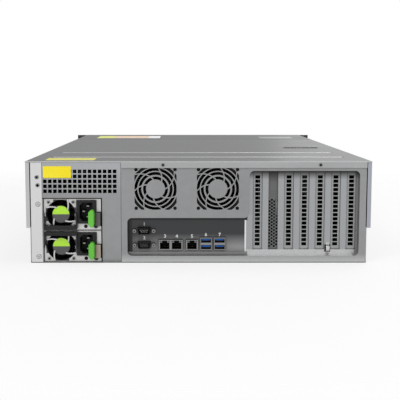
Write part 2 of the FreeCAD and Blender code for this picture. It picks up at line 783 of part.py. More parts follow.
# Bail handle about its pivot: two arms with stub pins, and a grip over the bar and corners
def supply_bail():
    inner = "bail_width / 2 - bail_arm"
    grip_top = "-(bail_reach + grip_half - grip_arm)"
    grip_low = "-(bail_reach + grip_half)"
    pieces = []
    for index, side in enumerate((-1, 1)):
        span = (f"{side} * (bail_width / 2)", f"{side} * ({inner})")
        low, high = span if side < 0 else span[::-1]
        arm = box(f"bail_strip_{index}", (low, high), ("-bail_half", "bail_half"), (grip_top, "0"))
        eye = cylinder(f"bail_eye_{index}", "X", (low, "0", "0"), "bail_half", "bail_arm")
        pin_start = high if side < 0 else f"{low} - lug_sheet"
        pin = cylinder(f"bail_pin_{index}", "X", (pin_start, "0", "0"), "pivot_radius", "lug_sheet")
        pieces.append(fuse(f"bail_arm_{index}", [arm, eye, pin]))
    block = box("grip_block", middle("0", "bail_width"), ("-grip_half", "grip_half"),
                (grip_low, grip_top))
    space = box("grip_space", middle("0", f"2 * ({inner})"), ("-2 * grip_half", "2 * grip_half"),
                (f"{grip_low} + 2 * grip_half", "0"))
    pieces.append(cut("bail_grip", block, [space]))
    return group("supply_bail", pieces)


def power_supplies():
    case, inlet, latch, bail = supply_case(), supply_inlet(), supply_latch(), supply_bail()
    frame = fan_frame("supply_fan", near_cup=False)
    rotor = rotor_shape("supply_fan")
    fan_start = "(module_set_back + face_sheet + seat_gap)"
    hub_x = "supply_fan_x"
    pivot_x = "bail_left + bail_width / 2"
    for name, base, flip in (("psu_upper", UPPER_MODULE, 0), ("psu_lower", LOWER_MODULE, 180)):
        fan_z = f"{base} + {SUPPLY_FAN_Z}"
        node(group(f"{name}_case", [case]), z=base)
        node(group(f"{name}_inlet", [inlet]), z=base)
        node(group(f"{name}_latch", [latch]), z=base)
        node(group(f"{name}_fan_frame", [frame]), hub_x, fan_start, fan_z)
        node(made(f"{name}_rotor", rotor), hub_x, fan_start, fan_z)
        node(group(f"{name}_bail", [bail]), pivot_x, "-bail_out", fan_z, Rotation(Vector(1, 0, 0), flip))


# Fans: a square frame with a motor cup on struts, drawn about the axle from y = 0 inwards

def fan_frame(name, near_cup):
    size, depth, bore, hub = (f"{name}_{part}" for part in ("size", "depth", "bore", "hub"))
    block = box(f"{name}_block", middle("0", size), ("0", depth), middle("0", size))
    hole = cylinder(f"{name}_hole", "Y", ("0", f"-{depth}", "0"), bore, f"3 * {depth}")
    rim = cut(f"{name}_rim", block, [hole])
    strut = ("0", "strut_depth") if near_cup else (f"{depth} - strut_depth", depth)
    reach = middle("0", f"2 * {bore} + sheet")
    bars = [box(f"{name}_bar_flat", reach, strut, middle("0", "strut_width")),
            box(f"{name}_bar_up", middle("0", "strut_width"), strut, reach)]
    cup = cylinder(f"{name}_cup", "Y", ("0", strut[0], "0"), hub, "strut_depth")
    return fuse(f"{name}_frame_solid", [rim, cup] + bars)


# Rotor: a many-sided hub with flat blades set at one pitch, clear of the motor cup
def rotor_shape(name, near_cup=False):
    depth, hub = number(f"{name}_depth"), number(f"{name}_hub")
    tip = number(f"{name}_bore") - number("tip_gap")
    gap, cup = number("cup_gap"), number("strut_depth")
    low = cup + gap if near_cup else 2 * gap
    high = depth - 2 * gap if near_cup else depth - cup - gap
    rim = [Vector(hub * math.cos(turn), low, hub * math.sin(turn))
           for turn in (math.tau * index / HUB_SIDES for index in range(HUB_SIDES))]
    body = Part.Face(Part.makePolygon(rim + rim[:1])).extrude(Vector(0, high - low, 0))
    pitch = math.radians(BLADE_PITCH)
    thick = tip / 26
    chord = min(0.86 * (high - low) / math.sin(pitch), 1.05 * hub)
    half_wide = (chord * math.cos(pitch) + thick * math.sin(pitch)) / 2
    reach = math.sqrt(tip ** 2 - half_wide ** 2)
    blades = []
    for index in range(BLADE_COUNT):
        blade = Part.makeBox(reach - 0.8 * hub, thick, chord, Vector(0.8 * hub, -thick / 2, -chord / 2))
        blade.rotate(Vector(), Vector(1, 0, 0), -BLADE_PITCH)
        blade.translate(Vector(0, (low + high) / 2, 0))
        blade.rotate(Vector(), Vector(0, 1, 0), 360 * index / BLADE_COUNT)
        blades.append(blade)
    return body.multiFuse(blades).removeSplitter()


def rear_fans():
    frame = fan_frame("rear_fan", near_cup=False)
    rotor = rotor_shape("rear_fan")
    frames = []
    for index, side in enumerate(("left", "right")):
        centre = f"rear_fan_first + {index} * rear_fan_pitch"
        frames.append(copy(f"rear_fan_{side}", frame, centre, "sheet", "rear_fan_height"))
        node(made(f"rear_rotor_{side}", rotor), centre, "sheet", "rear_fan_height")
    node(group("rear_fan_frames", frames))


# Middle wall with three fans that draw air through the drive bays

def wall_fan_x(index):
    return f"({index} - (wall_fan_count - 1) / 2) * wall_fan_pitch"


def fan_wall():
    count = int(number("wall_fan_count"))
    body = new_body("fan_wall")
    plate = rectangle(f"-{INNER_LOW}", "sheet", INNER_LOW, f"{COVER_UNDER} - 2 * run_gap")
    feature(body, "Pad", "XZ", "wall_plate", "wall_place", "sheet", [plate])
    foot = rectangle(f"-{INNER_LOW}", "sheet", INNER_LOW, "2 * sheet")
    feature(body, "Pad", "XZ", "wall_foot_strip", "wall_place - wall_foot", "wall_foot", [foot])
    rounds = [(wall_fan_x(index), "wall_fan_height", "wall_fan_bore") for index in range(count)]
    feature(body, "Pocket", "XZ", "wall_openings", "wall_place", "sheet", circles=rounds)
    node(body)
    frame = fan_frame("wall_fan", near_cup=True)
    rotor = rotor_shape("wall_fan", near_cup=True)
    back = "wall_place + sheet"
    frames = []
    for index in range(count):
        frames.append(copy(f"wall_fan_{index + 1}", frame, wall_fan_x(index), back, "wall_fan_height"))
        node(made(f"wall_rotor_{index + 1}", rotor), wall_fan_x(index), back, "wall_fan_height")
    node(group("wall_fan_frames", frames))


# Covers

def rear_cover():
    body = new_body("rear_cover")
    rear = "-(flange_gap + sheet)"
    front = "cover_split - seam_gap"
    feature(body, "Pad", "XY", "cover_sheet", COVER_UNDER, "sheet",
            [rectangle(f"-{SKIRT}", rear, SKIRT, front)])
    lip_out = f"({SKIRT} - sheet - turn_gap)"
    lip_rear = "cover_travel + 3 * sheet"
    lip_front = "cover_split - tongue_root"
    lips = [rectangle(f"{lip_out} - sheet", lip_rear, lip_out, lip_front),
            rectangle(f"-{lip_out}", lip_rear, f"-{lip_out} + sheet", lip_front)]
    feature(body, "Pad", "XY", "cover_lips", f"{COVER_UNDER} - cover_lip", "cover_lip", lips)
    flange = rectangle("panel_seam", "flange_bottom", "flange_right", "body_height")
    feature(body, "Pad", "XZ", "cover_flange", rear, "sheet", [flange])
    root = "cover_split - tongue_root"
    bridge = rectangle("-tongue_half", root, "tongue_half", front)
    feature(body, "Pad", "XY", "tongue_bridge", f"{COVER_UNDER} - tongue_drop", "tongue_drop", [bridge])
    tongue = rectangle("-tongue_half", root, "tongue_half", "cover_split + tongue_reach")
    feature(body, "Pad", "XY", "tongue_sheet", f"{COVER_UNDER} - tongue_drop - sheet", "sheet", [tongue])

    def beads(top):
        slope = "rib_width / 2 - rib_depth"
        return [[(f"{place_y} - rib_width / 2", top), (f"{place_y} + rib_width / 2", top),
                 (f"{place_y} + {slope}", f"{top} - rib_depth"),
                 (f"{place_y} - ({slope})", f"{top} - rib_depth")]
                for place_y in ("rib_first", "rib_second")]

    rib_half = f"({SKIRT} - rib_inset)"
    feature(body, "Pad", "YZ", "rib_backs", f"-{rib_half}", f"2 * {rib_half}", beads(COVER_UNDER))
    groove_half = f"({rib_half} - sheet)"
    feature(body, "Pocket", "YZ", "rib_grooves", f"-{groove_half}", f"2 * {groove_half}",
            beads("body_height"))

    def dish(grow):
        low, high = middle("finger_place", "finger_length")
        return rectangle(f"finger_left - {grow}", f"{low} - {grow}",
                         f"finger_left + finger_width + {grow}", f"{high} + {grow}")

    feature(body, "Pad", "XY", "finger_tub", "body_height - finger_depth - sheet", "finger_depth",
            [dish("sheet")])
    feature(body, "Pocket", "XY", "finger_dish", "body_height - finger_depth", "finger_depth",
            [dish("0")])
    round_edges(body, "finger_inner_bends", "Z", dish("0"), "finger_radius")
    round_edges(body, "finger_outer_bends", "Z", dish("sheet"), "finger_radius + sheet")
    node(body)


def front_cover():
    body = new_body("front_cover")
    top = rectangle(f"-{SKIRT}", "cover_split", SKIRT, "body_depth")
    feature(body, "Pad", "XY", "fixed_sheet", COVER_UNDER, "sheet", [top])
    lip_out = f"({SKIRT} - sheet - turn_gap)"
    rear, front = "cover_split + 2 * tongue_reach", "body_depth"
    lips = [rectangle(f"{lip_out} - sheet", rear, lip_out, front),
            rectangle(f"-{lip_out}", rear, f"-{lip_out} + sheet", front)]
    feature(body, "Pad", "XY", "fixed_lips", f"{COVER_UNDER} - cover_lip", "cover_lip", lips)
    node(body)


# Drive bays: a crate of walls with ledges, a backplane, and sixteen carriers

def drive_cage():
    columns, rows = int(number("bay_columns")), int(number("bay_rows"))
    left, front = f"(-{CAGE_WIDTH} / 2)", f"({CAGE_REAR} + cage_depth)"
    pieces = []
    for column in range(columns + 1):
        wall = f"({left} + {column} * column_pitch)"
        pieces.append(box(f"cage_wall_{column}", (wall, f"{wall} + sheet"), (CAGE_REAR, front),
                          ("sheet", f"sheet + {CAGE_HEIGHT}")))
    shelf = new_body("cage_shelf")
    plate = rectangle(f"{left} + sheet", CAGE_REAR, f"{left} + column_pitch", front)
    feature(shelf, "Pad", "XY", "shelf_plate", "sheet", "sheet", [plate])
    gap = rectangle(f"{left} + sheet + cage_ledge", f"{CAGE_REAR} + cage_strip",
                    f"{left} + column_pitch - cage_ledge", f"{front} - cage_strip")
    feature(shelf, "Pocket", "XY", "shelf_gap", "sheet", "sheet", [gap])
    for column in range(columns):
        for level in range(rows + 1):
            pieces.append(copy(f"cage_shelf_{column}_{level}", shelf, f"{column} * column_pitch", "0",
                               f"{level} * row_pitch"))
    node(group("drive_cage", pieces))


def bay_x(column):
    return f"({column} - (bay_columns - 1) / 2) * column_pitch"


def bay_z(row_index):
    return f"(2 * sheet + {row_index} * row_pitch + run_gap)"


def backplane():
    columns, rows = int(number("bay_columns")), int(number("bay_rows"))
    body = new_body("backplane_board")
    front = f"{CAGE_REAR} - seat_gap"
    plate = rectangle(f"-{CAGE_WIDTH} / 2", "sheet", f"{CAGE_WIDTH} / 2",
                      f"sheet + {CAGE_HEIGHT} - backplane_margin")
    feature(body, "Pad", "XZ", "board_sheet", f"{front} - backplane_thick", "backplane_thick", [plate])
    left, right = middle(bay_x(0), "draught_width")
    low = f"{bay_z(0)} + plug_low + plug_height + backplane_margin"
    slot = feature(body, "Pocket", "XZ", "draught_slot", f"{front} - backplane_thick", "backplane_thick",
                   [rectangle(left, low, right, f"{low} + draught_height")])
    pattern(body, slot, [("H_Axis", "column_pitch", "bay_columns"), ("V_Axis", "row_pitch", "bay_rows")])
    pieces = [body]
    for column in range(columns):
        for row_index in range(rows):
            pieces.append(box(f"drive_plug_{column}_{row_index}", middle(bay_x(column), "plug_width"),
                              (front, f"body_depth - {DRIVE_BACK} - seat_gap"),
                              (f"{bay_z(row_index)} + plug_low",
                               f"{bay_z(row_index)} + plug_low + plug_height")))
    node(group("backplane", pieces))


# One carrier, drawn with the front of the ears at y = 0: tray, drive, bezel and lever
def carrier_pieces():
    half = f"({CARRIER_WIDTH} / 2)"
    back = f"-({DRIVE_BACK})"
    bezel_back = "-(bezel_depth - bezel_proud)"
    tray = new_body("carrier_tray")
    inner = "(drive_width / 2 + seat_gap / 2)"
    trough = [(f"-{half}", "0"), (half, "0"), (half, "tray_rail"), (inner, "tray_rail"),
              (inner, "tray_floor"),
              (f"-{inner}", "tray_floor"), (f"-{inner}", "tray_rail"), (f"-{half}", "tray_rail")]
    feature(tray, "Pad", "XZ", "tray_trough", back, f"{bezel_back} - ({back})", [trough])
    drive = box("carrier_drive", middle("0", "drive_width"), (back, f"{bezel_back} - seat_gap"),
                ("tray_floor", "tray_floor + drive_height"))
    bezel = new_body("carrier_bezel")
    feature(bezel, "Pad", "XZ", "bezel_block", bezel_back, "bezel_depth",
            [rectangle(f"-{half}", "0", half, CARRIER_HEIGHT)])
    push_low, push_high = middle(f"{CARRIER_HEIGHT} / 2", "push_height")
    push_left, push_right = middle(f"-{half} + lever_left / 2", "push_width")
    feature(bezel, "Pad", "XZ", "push_pad", "bezel_proud", "push_proud",
            [rectangle(push_left, push_low, push_right, push_high)])

    def lever_outline(gap):
        return rectangle(f"-{half} + lever_left + {gap}", f"lever_margin + {gap}",
                         f"{half} - lever_margin - {gap}",
                         f"{CARRIER_HEIGHT} - lever_margin - {gap}")

    feature(bezel, "Pocket", "XZ", "lever_space", "bezel_proud - lever_pocket", "lever_pocket",
            [lever_outline("0")])
    lever = new_body("carrier_lever")
    lever_back = "bezel_proud - lever_pocket + seat_gap"
    feature(lever, "Pad", "XZ", "lever_plate", lever_back, "lever_thick", [lever_outline("turn_gap")])
    field = f"({CARRIER_WIDTH} - lever_left - lever_margin)"
    start = f"-{half} + lever_left + ({field} - vent_pitch * (vent_count - 1) - vent_width) / 2"
    low, high = "lever_margin + vent_rim", f"{CARRIER_HEIGHT} - lever_margin - vent_rim"
    end = f"{start} + vent_pitch * (vent_count - 1) + vent_width"
    feature(bezel, "Pocket", "XZ", "bezel_window", bezel_back, "bezel_depth",
            [rectangle(start, low, end, high)])
    vent = feature(lever, "Pocket", "XZ", "lever_vent", lever_back, "lever_thick",
                   [rectangle(start, low, f"{start} + vent_width", high)])
    pattern(lever, vent, [("H_Axis", "vent_pitch", "vent_count")])
    return [tray, drive, bezel, lever]


def drive_carriers():
    columns, rows = int(number("bay_columns")), int(number("bay_rows"))
    pieces = carrier_pieces()
    for row_index in range(rows):
        for column in range(columns):
            label = f"drive_carrier_{row_index * columns + column + 1}"
            node(group(label, pieces), bay_x(column), "body_depth", bay_z(row_index))


# Main board with its standoffs, slots, coolers and memory

def memory_x(bank, index):
    return f"(memory_first + {bank} * cooler_pitch + {index} * memory_pitch)"


def cooler_x(index):
    return f"(cooler_first + {index} * cooler_pitch)"


def motherboard():
    end = f"{BOARD_START} + board_length"
    pieces = [box("board_plate", ("board_left", "board_left + board_width"), (BOARD_START, end),
                  ("board_top - board_thick", "board_top"))]
    along = ("socket_place", "socket_place + socket_length")
    for index in range(int(number("slot_count"))):
        centre = f"{slot_x(index)} + card_offset"
        block = box(f"slot_block_{index}", middle(centre, "socket_wide"), along,
                    ("board_top", "board_top + socket_tall"))
        groove = box(f"slot_groove_{index}", middle(centre, "card_thick + run_gap"),
                     ("socket_place + sheet", "socket_place + socket_length - sheet"),
                     ("board_top + socket_tall - socket_groove", "board_top + 2 * socket_tall"))
        pieces.append(cut(f"slot_socket_{index}", block, [groove]))
    for index in range(2):
        across = middle(cooler_x(index), "0.75 * cooler_size")
        pieces.append(box(f"processor_{index}", across, middle("cooler_place", "0.75 * cooler_size"),
                          ("board_top", "board_top + chip_height")))
        for each in range(int(number("memory_each"))):
            pieces.append(box(f"memory_socket_{index}_{each}",
                              middle(memory_x(index, each), "memory_wide"),
                              ("memory_place", "memory_place + memory_seat"),
                              ("board_top", "board_top + memory_rise")))
    node(group("motherboard", pieces))
    posts = []
    for across in ("standoff_inset", "board_width / 2", "board_width - standoff_inset"):
        for along_y in ("2 * standoff_inset", "board_length / 2", "board_length - standoff_inset"):
            post = doc.addObject("Part::Prism", f"standoff_{len(posts)}")
            post.Polygon = 6
            bind(post, {"Circumradius": "standoff_radius", "Height": "board_top - board_thick - sheet"})
            posts.append(place(post, f"board_left + {across}", f"{BOARD_START} + {along_y}", "sheet"))
    node(group("board_standoffs", posts))


def cpu_heatsinks():
    body = new_body("cooler")
    side = "cooler_size / 2"
    feature(body, "Pad", "XY", "cooler_plate", "0", "cooler_base",
            [rectangle(f"-{side}", f"-{side}", side, side)])
    fin = rectangle(f"-{side}", f"-{side}", f"-{side} + fin_thick", side)
    first = feature(body, "Pad", "XY", "cooler_fin", "cooler_base", "cooler_tall - cooler_base", [fin])
    pattern(body, first, [("H_Axis", "(cooler_size - fin_thick) / (cooler_fins - 1)", "cooler_fins")])
    pieces = [copy(f"cooler_{index}", body, cooler_x(index), "cooler_place", "board_top + chip_height")
              for index in range(2)]
    node(group("cpu_heatsinks", pieces))


def memory_modules():
    pieces = []
    low, high = middle("memory_place + memory_seat / 2", "memory_length")
    for bank in range(2):
        for index in range(int(number("memory_each"))):
            pieces.append(box(f"memory_{bank}_{index}", middle(memory_x(bank, index), "memory_thick"),
                              (low, high),
                              ("board_top + memory_rise", "board_top + memory_rise + memory_tall")))
    node(group("memory_modules", pieces))


# Expansion slots: six vented covers and one card with a perforated bracket

def bracket_plate(label):
    body = new_body(label)
    left, right = middle("0", BRACKET_WIDTH)
    low, top = "slot_low - 2 * sheet", f"{SLOT_TOP} + bracket_sheet"
    feature(body, "Pad", "XZ", f"{label}_plate", RECESS_BACK, "bracket_sheet",
            [rectangle(left, low, right, top)])
    return body


# Tab of a bracket, on top of the recess: a solid of its own, so that collision follows the bend
def bracket_tab(label):
    return box(label, middle("0", BRACKET_WIDTH), (f"{RECESS_BACK} - bracket_tab", RECESS_BACK),
               (SLOT_TOP, f"{SLOT_TOP} + bracket_sheet"))


def slot_covers():
    body = bracket_plate("slot_cover")
    tab = bracket_tab("slot_cover_tab")
    low = "cover_vent_low"
    vent = rectangle("-cover_vent_wide / 2", low, "cover_vent_wide / 2", f"{low} + cover_vent_tall")
    first = feature(body, "Pocket", "XZ", "cover_vent", RECESS_BACK, "bracket_sheet", [vent])
    pattern(body, first, [("V_Axis", "cover_vent_pitch", "cover_vent_count")])
    card = int(number("card_slot"))
    pieces = []
    for index in range(int(number("slot_count"))):
        if index != card:
            pieces.append(copy(f"slot_cover_{index}", body, slot_x(index)))
            pieces.append(copy(f"slot_tab_{index}", tab, slot_x(index)))
    node(group("slot_covers", pieces))


def raid_card():
    front = bracket_plate("card_bracket")
    turns = [90 * corner + 45 for corner in range(4)]
    pores = []
    for row_index in range(2):
        for column in range(2):
            across = f"((2 * {column} + {row_index} - 1.5) * pore_pitch)"
            up = f"(pore_low + {row_index} * pore_rise / 2)"
            pores.append([(f"{across} + pore_radius * cos({angle})", f"{up} + pore_radius * sin({angle})")
                          for angle in turns])
    first = feature(front, "Pocket", "XZ", "card_pores", RECESS_BACK, "bracket_sheet", pores)
    pattern(front, first, [("V_Axis", "pore_rise", "pore_rows - 1")])
    place_x = slot_x(int(number("card_slot")))
    bent = [copy("card_front", front, place_x), copy("card_tab", bracket_tab("bracket_tab"), place_x)]
    board = new_body("card_board")
    start = f"{RECESS_BACK} + bracket_sheet"
    finger = ("socket_place + 2 * sheet", "socket_place + socket_length - 2 * sheet")
    finger_low = "board_top + socket_tall - socket_groove + seat_gap"
    outline = [(start, "card_low"), (finger[0], "card_low"), (finger[0], finger_low),
               (finger[1], finger_low),
               (finger[1], "card_low"), (f"{start} + card_length", "card_low"),
               (f"{start} + card_length", "card_high"),
               (start, "card_high")]
    feature(board, "Pad", "YZ", "card_sheet", f"{CARD_X} - card_thick / 2", "card_thick", [outline])
    face = f"{CARD_X} + card_thick / 2"
    chip = box("card_cooler", (face, f"{face} + chip_height"),
               middle("card_length / 2", "cooler_size / 2"),
               middle("(card_low + card_high) / 2", "cooler_size / 2"))
    node(group("raid_card", bent + [board, chip]))


# Sockets of the main board and the shield around them

def dsub_outline(centre, grow):
    wide, tall = f"(dsub_shell_wide / 2 + {grow})", f"(dsub_shell_tall / 2 + {grow})"
    return [(f"dsub_x - {wide} + dsub_slant", f"{centre} - {tall}"),
            (f"dsub_x + {wide} - dsub_slant", f"{centre} - {tall}"),
            (f"dsub_x + {wide}", f"{centre} + {tall}"), (f"dsub_x - {wide}", f"{centre} + {tall}")]


NETWORK = (("net_pair", ("net_first", "net_second")), ("net_single", ("net_third",)))


def io_ports():
    pieces = []
    stack = new_body("dsub_stack")
    back = f"{RECESS_BACK} + shield_sheet + seat_gap"
    low, high = middle("dsub_x", "dsub_width")
    feature(stack, "Pad", "XZ", "dsub_block", back, "dsub_deep",
            [rectangle(low, "board_top", high, "dsub_upper + dsub_shell_tall")])
    centres = ("dsub_upper", "dsub_lower")
    reach = f"{back} - (recess_depth - dsub_proud)"
    feature(stack, "Pad", "XZ", "dsub_shells", "recess_depth - dsub_proud", reach,
            [dsub_outline(centre, "0") for centre in centres])
    feature(stack, "Pocket", "XZ", "dsub_mouths", "recess_depth - dsub_proud", "dsub_proud",
            [dsub_outline(centre, "-dsub_wall") for centre in centres])
    pieces.append(stack)
    for label, centres in NETWORK:
        shell = new_body(label)
        left = f"{centres[0]} - net_width / 2"
        right = f"{centres[-1]} + net_width / 2"
        feature(shell, "Pad", "XZ", f"{label}_shell", PORT_FRONT, "net_depth",
                [rectangle(left, "board_top", right, "board_top + net_tall")])
        mouths, keys = [], []
        base, top = "board_top + net_lip", "board_top + net_lip + net_mouth_tall"
        for centre in centres:
            wide = middle(centre, "net_mouth_wide")
            mouths.append(rectangle(wide[0], base, wide[1], top))
            narrow = middle(centre, "net_key_wide")
            keys.append(rectangle(narrow[0], f"{top} - sheet", narrow[1], f"{top} + net_key_tall"))
        feature(shell, "Pocket", "XZ", f"{label}_mouths", PORT_FRONT, "net_mouth_deep", mouths)
        feature(shell, "Pocket", "XZ", f"{label}_keys", PORT_FRONT, "net_mouth_deep", keys)
        pieces.append(shell)
    for label, centre in (("usb_left", "usb_first"), ("usb_right", "usb_second")):
        shell = new_body(label)
        left, right = middle(centre, "usb_width")
        feature(shell, "Pad", "XZ", f"{label}_shell", PORT_FRONT, "usb_depth",
                [rectangle(left, "board_top", right, "board_top + usb_tall")])
        wide = middle(centre, "usb_mouth_wide")
        heights = ("usb_upper", "usb_lower")
        mouths = [rectangle(wide[0], middle(up, "usb_mouth_tall")[0], wide[1],
                            middle(up, "usb_mouth_tall")[1])
                  for up in heights]
        feature(shell, "Pocket", "XZ", f"{label}_mouths", PORT_FRONT, "usb_mouth_deep", mouths)
        narrow = middle(centre, "usb_tongue_wide")
        tongues = [rectangle(narrow[0], f"{up} + seat_gap", narrow[1],
                             f"{up} + seat_gap + usb_tongue_tall")
                   for up in heights]
        feature(shell, "Pad", "XZ", f"{label}_tongues", f"{PORT_FRONT} + sheet",
                "usb_mouth_deep - sheet", tongues)
        pieces.append(shell)
    node(group("io_ports", pieces))


def io_shield():
    body = new_body("io_shield")
    plate = rectangle("shield_left - shield_lap", "shield_bottom - shield_lap",
                      "shield_right + shield_lap", "shield_top + shield_lap")
    feature(body, "Pad", "XZ", "shield_plate", RECESS_BACK, "shield_sheet", [plate])
    windows = [dsub_outline(centre, "port_gap") for centre in ("dsub_upper", "dsub_lower")]
    top = "board_top + net_tall + port_gap"
    low = "board_top - port_gap"
    for _, centres in NETWORK:
        windows.append(rectangle(f"{centres[0]} - net_width / 2 - port_gap", low,
                                 f"{centres[-1]} + net_width / 2 + port_gap", top))
    for centre in ("usb_first", "usb_second"):
        left, right = middle(centre, "usb_width + 2 * port_gap")
        windows.append(rectangle(left, low, right, "board_top + usb_tall + port_gap"))
    feature(body, "Pocket", "XZ", "shield_windows", RECESS_BACK, "shield_sheet", windows)
    node(body)


# Rack ears with pull handles, and the button panel on one of them

def ear(label, side):
    body = new_body(f"{label}_sheet")
    margin = "seat_gap"
    outline = [("body_width / 2", margin), ("ear_width / 2", margin),
               ("ear_width / 2", f"body_height - {margin}"),
               (SKIRT, f"body_height - {margin}"), (SKIRT, f"rail_height - {margin}"),
               ("body_width / 2", f"rail_height - {margin}")]
    outline = [(f"{side} * ({across})", up) for across, up in outline]
    feature(body, "Pad", "XZ", f"{label}_flange", "body_depth - ear_sheet", "ear_sheet", [outline])
    arm = rectangle(f"{side} * {SKIRT}", f"rail_height + {margin}", f"{side} * ({SKIRT} + ear_arm)",
                    WALL_TOP)
    feature(body, "Pad", "XZ", f"{label}_arm", "body_depth - ear_arm_length",
            "ear_arm_length - ear_sheet", [arm])
    slots = []
    for up in (-1, 1):
        centre_z = f"body_height / 2 + {up} * ear_slot_spread / 2"
        straight = "(ear_slot_length - 2 * ear_slot_half)"
        deep = ("body_depth - 2 * ear_sheet", "body_depth + ear_sheet")
        pieces = [box(f"{label}_slot_box_{up + 1}", middle(f"{side} * ear_slot_x", straight), deep,
                      middle(centre_z, "2 * ear_slot_half"))]
        for end in (-1, 1):
            start = (f"{side} * ear_slot_x + {end} * {straight} / 2", deep[0], centre_z)
            pieces.append(cylinder(f"{label}_slot_end_{up + 1}_{end + 1}", "Y", start, "ear_slot_half",
                                   "3 * ear_sheet"))
        slots.append(fuse(f"{label}_slot_{up + 1}", pieces))
    node(cut(label, body, slots))


def handle(label, side):
    body = new_body(label)
    front = "body_depth + front_reach"
    bar = f"{front} - handle_bar"
    outline = [("body_depth", "handle_low"), (front, "handle_low"), (front, "handle_high"),
               ("body_depth", "handle_high"), ("body_depth", "handle_high - handle_post"),
               (bar, "handle_high - handle_post"), (bar, "handle_low + handle_post"),
               ("body_depth", "handle_low + handle_post")]
    low = f"{SKIRT} + handle_inset"
    start = low if side > 0 else f"-({low} + handle_wide)"
    feature(body, "Pad", "YZ", f"{label}_bow", start, "handle_wide", [outline])
    round_edges(body, f"{label}_outer_bends", "X", [outline[1], outline[2]], "handle_bend")
    round_edges(body, f"{label}_inner_bends", "X", [outline[5], outline[6]], "handle_bend / 2")
    node(body)


BUTTONS = (("power_button", "power_radius", "power_height"),
           ("reset_button", "reset_radius", "reset_height"))


def control_panel():
    body = new_body("control_panel")
    left, right = f"-(ear_width / 2 - control_inset)", f"-({SKIRT} + control_inset)"
    centre = f"-(ear_width / 4 + {SKIRT} / 2)"
    feature(body, "Pad", "XZ", "control_block", "body_depth", "control_depth",
            [rectangle(left, "control_low", right, "control_high")])
    deep = "(button_length + button_travel + turn_gap - button_proud)"
    rounds = [(centre, height, f"{radius} + turn_gap") for _, radius, height in BUTTONS]
    feature(body, "Pocket", "XZ", "button_bores", f"body_depth + control_depth - {deep}", deep,
            circles=rounds)
    node(body)
    for label, radius, height in BUTTONS:
        button = new_body(label)
        feature(button, "Pad", "XZ", f"{label}_cap",
                "body_depth + control_depth + button_proud - button_length",
                "button_length", circles=[(centre, height, radius)])
        node(button)


def check_and_write():
    doc.recompute()
    for piece in doc.Objects:
        if "Invalid" in piece.State or "Error" in piece.State:
            raise RuntimeError(f"{piece.Label} did not build: {piece.State}")
    for piece in nodes:
        if piece.Shape.isNull() or not piece.Shape.isValid() or not piece.Shape.Solids:
            raise RuntimeError(f"{piece.Label} has no valid solid")
    os.makedirs("parts", exist_ok=True)
    for piece in nodes:
        piece.Shape.exportStep(f"parts/{piece.Label}.step")
    print(len(nodes), "nodes,", sum(len(piece.Shape.Solids) for piece in nodes), "solids")


chassis_base()
rear_panel()
psu_bay_panel()
psu_cage()
power_board()
power_supplies()
rear_fans()
fan_wall()
rear_cover()
front_cover()
drive_cage()
backplane()
drive_carriers()
motherboard()
cpu_heatsinks()
memory_modules()
slot_covers()
raid_card()
io_ports()
io_shield()
for side_name, side_sign in (("left", -1), ("right", 1)):
    ear(f"ear_{side_name}", side_sign)
    handle(f"handle_{side_name}", side_sign)
control_panel()
check_and_write()
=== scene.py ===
import bmesh
import bpy
import math
from mathutils import Matrix, Vector


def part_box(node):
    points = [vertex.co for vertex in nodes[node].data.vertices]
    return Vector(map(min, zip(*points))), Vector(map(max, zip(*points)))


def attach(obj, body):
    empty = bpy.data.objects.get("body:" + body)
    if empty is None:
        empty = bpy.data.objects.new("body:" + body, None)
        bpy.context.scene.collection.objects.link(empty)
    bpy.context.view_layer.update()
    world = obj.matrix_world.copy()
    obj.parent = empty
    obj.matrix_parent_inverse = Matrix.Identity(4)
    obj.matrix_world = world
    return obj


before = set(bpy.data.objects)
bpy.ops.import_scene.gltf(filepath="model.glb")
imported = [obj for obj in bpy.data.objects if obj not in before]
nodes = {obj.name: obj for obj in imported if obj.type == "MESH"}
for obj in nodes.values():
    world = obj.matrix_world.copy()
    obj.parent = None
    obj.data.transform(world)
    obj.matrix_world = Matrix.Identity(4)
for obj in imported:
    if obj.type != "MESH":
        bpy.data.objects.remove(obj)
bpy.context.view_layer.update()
scene = bpy.context.scene
mm = 0.001
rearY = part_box("rear_panel")[0].y     # outer face of the rear panel
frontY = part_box("ear_left")[1].y      # front of the rack ears
print("frame loaded,", len(nodes), "nodes")


def turned(degrees, axis):
    return Matrix.Rotation(math.radians(degrees), 4, axis)


# local x, y, z of a detail drawn flat, turned to the side of the server that it sits on
facing = {
    "rear": turned(90, "X"),
    "front": turned(180, "Z") @ turned(90, "X"),
    "right": turned(90, "Z") @ turned(90, "X"),
    "left": turned(-90, "Z") @ turned(90, "X"),
}


# millimetres to metres in the frame, with y counted from the rear panel
def at(x, y, z):
    return Vector((x * mm, rearY + y * mm, z * mm))


def spot(side, x, y, z, turn=0):
    return Matrix.Translation(at(x, y, z)) @ facing[side] @ turned(turn, "Z")


# fills the inputs of a node: a socket is linked, a plain value is set
def feed(tree, node, values):
    for name, value in values.items():
        if hasattr(value, "is_linked"):
            tree.links.new(value, node.inputs[name])
        else:
            node.inputs[name].default_value = value


def addNode(tree, kind, values=None, **settings):
    made = tree.nodes.new(kind)
    for name, value in settings.items():
        setattr(made, name, value)
    feed(tree, made, values or {})
    return made


def placeGroup(tree, group, values):
    return addNode(tree, "ShaderNodeGroup", values, node_tree=group)


def newGroup(name, inputs, outputs):
    tree = bpy.data.node_groups.new(name, "ShaderNodeTree")
    for label, value in inputs.items():
        kind = "Color" if isinstance(value, tuple) else "Float"
        socket = tree.interface.new_socket(label, in_out="INPUT", socket_type=f"NodeSocket{kind}")
        socket.default_value = value
    for label, kind in outputs.items():
        tree.interface.new_socket(label, in_out="OUTPUT", socket_type=f"NodeSocket{kind}")
    return tree, tree.nodes.new("NodeGroupInput").outputs, tree.nodes.new("NodeGroupOutput")


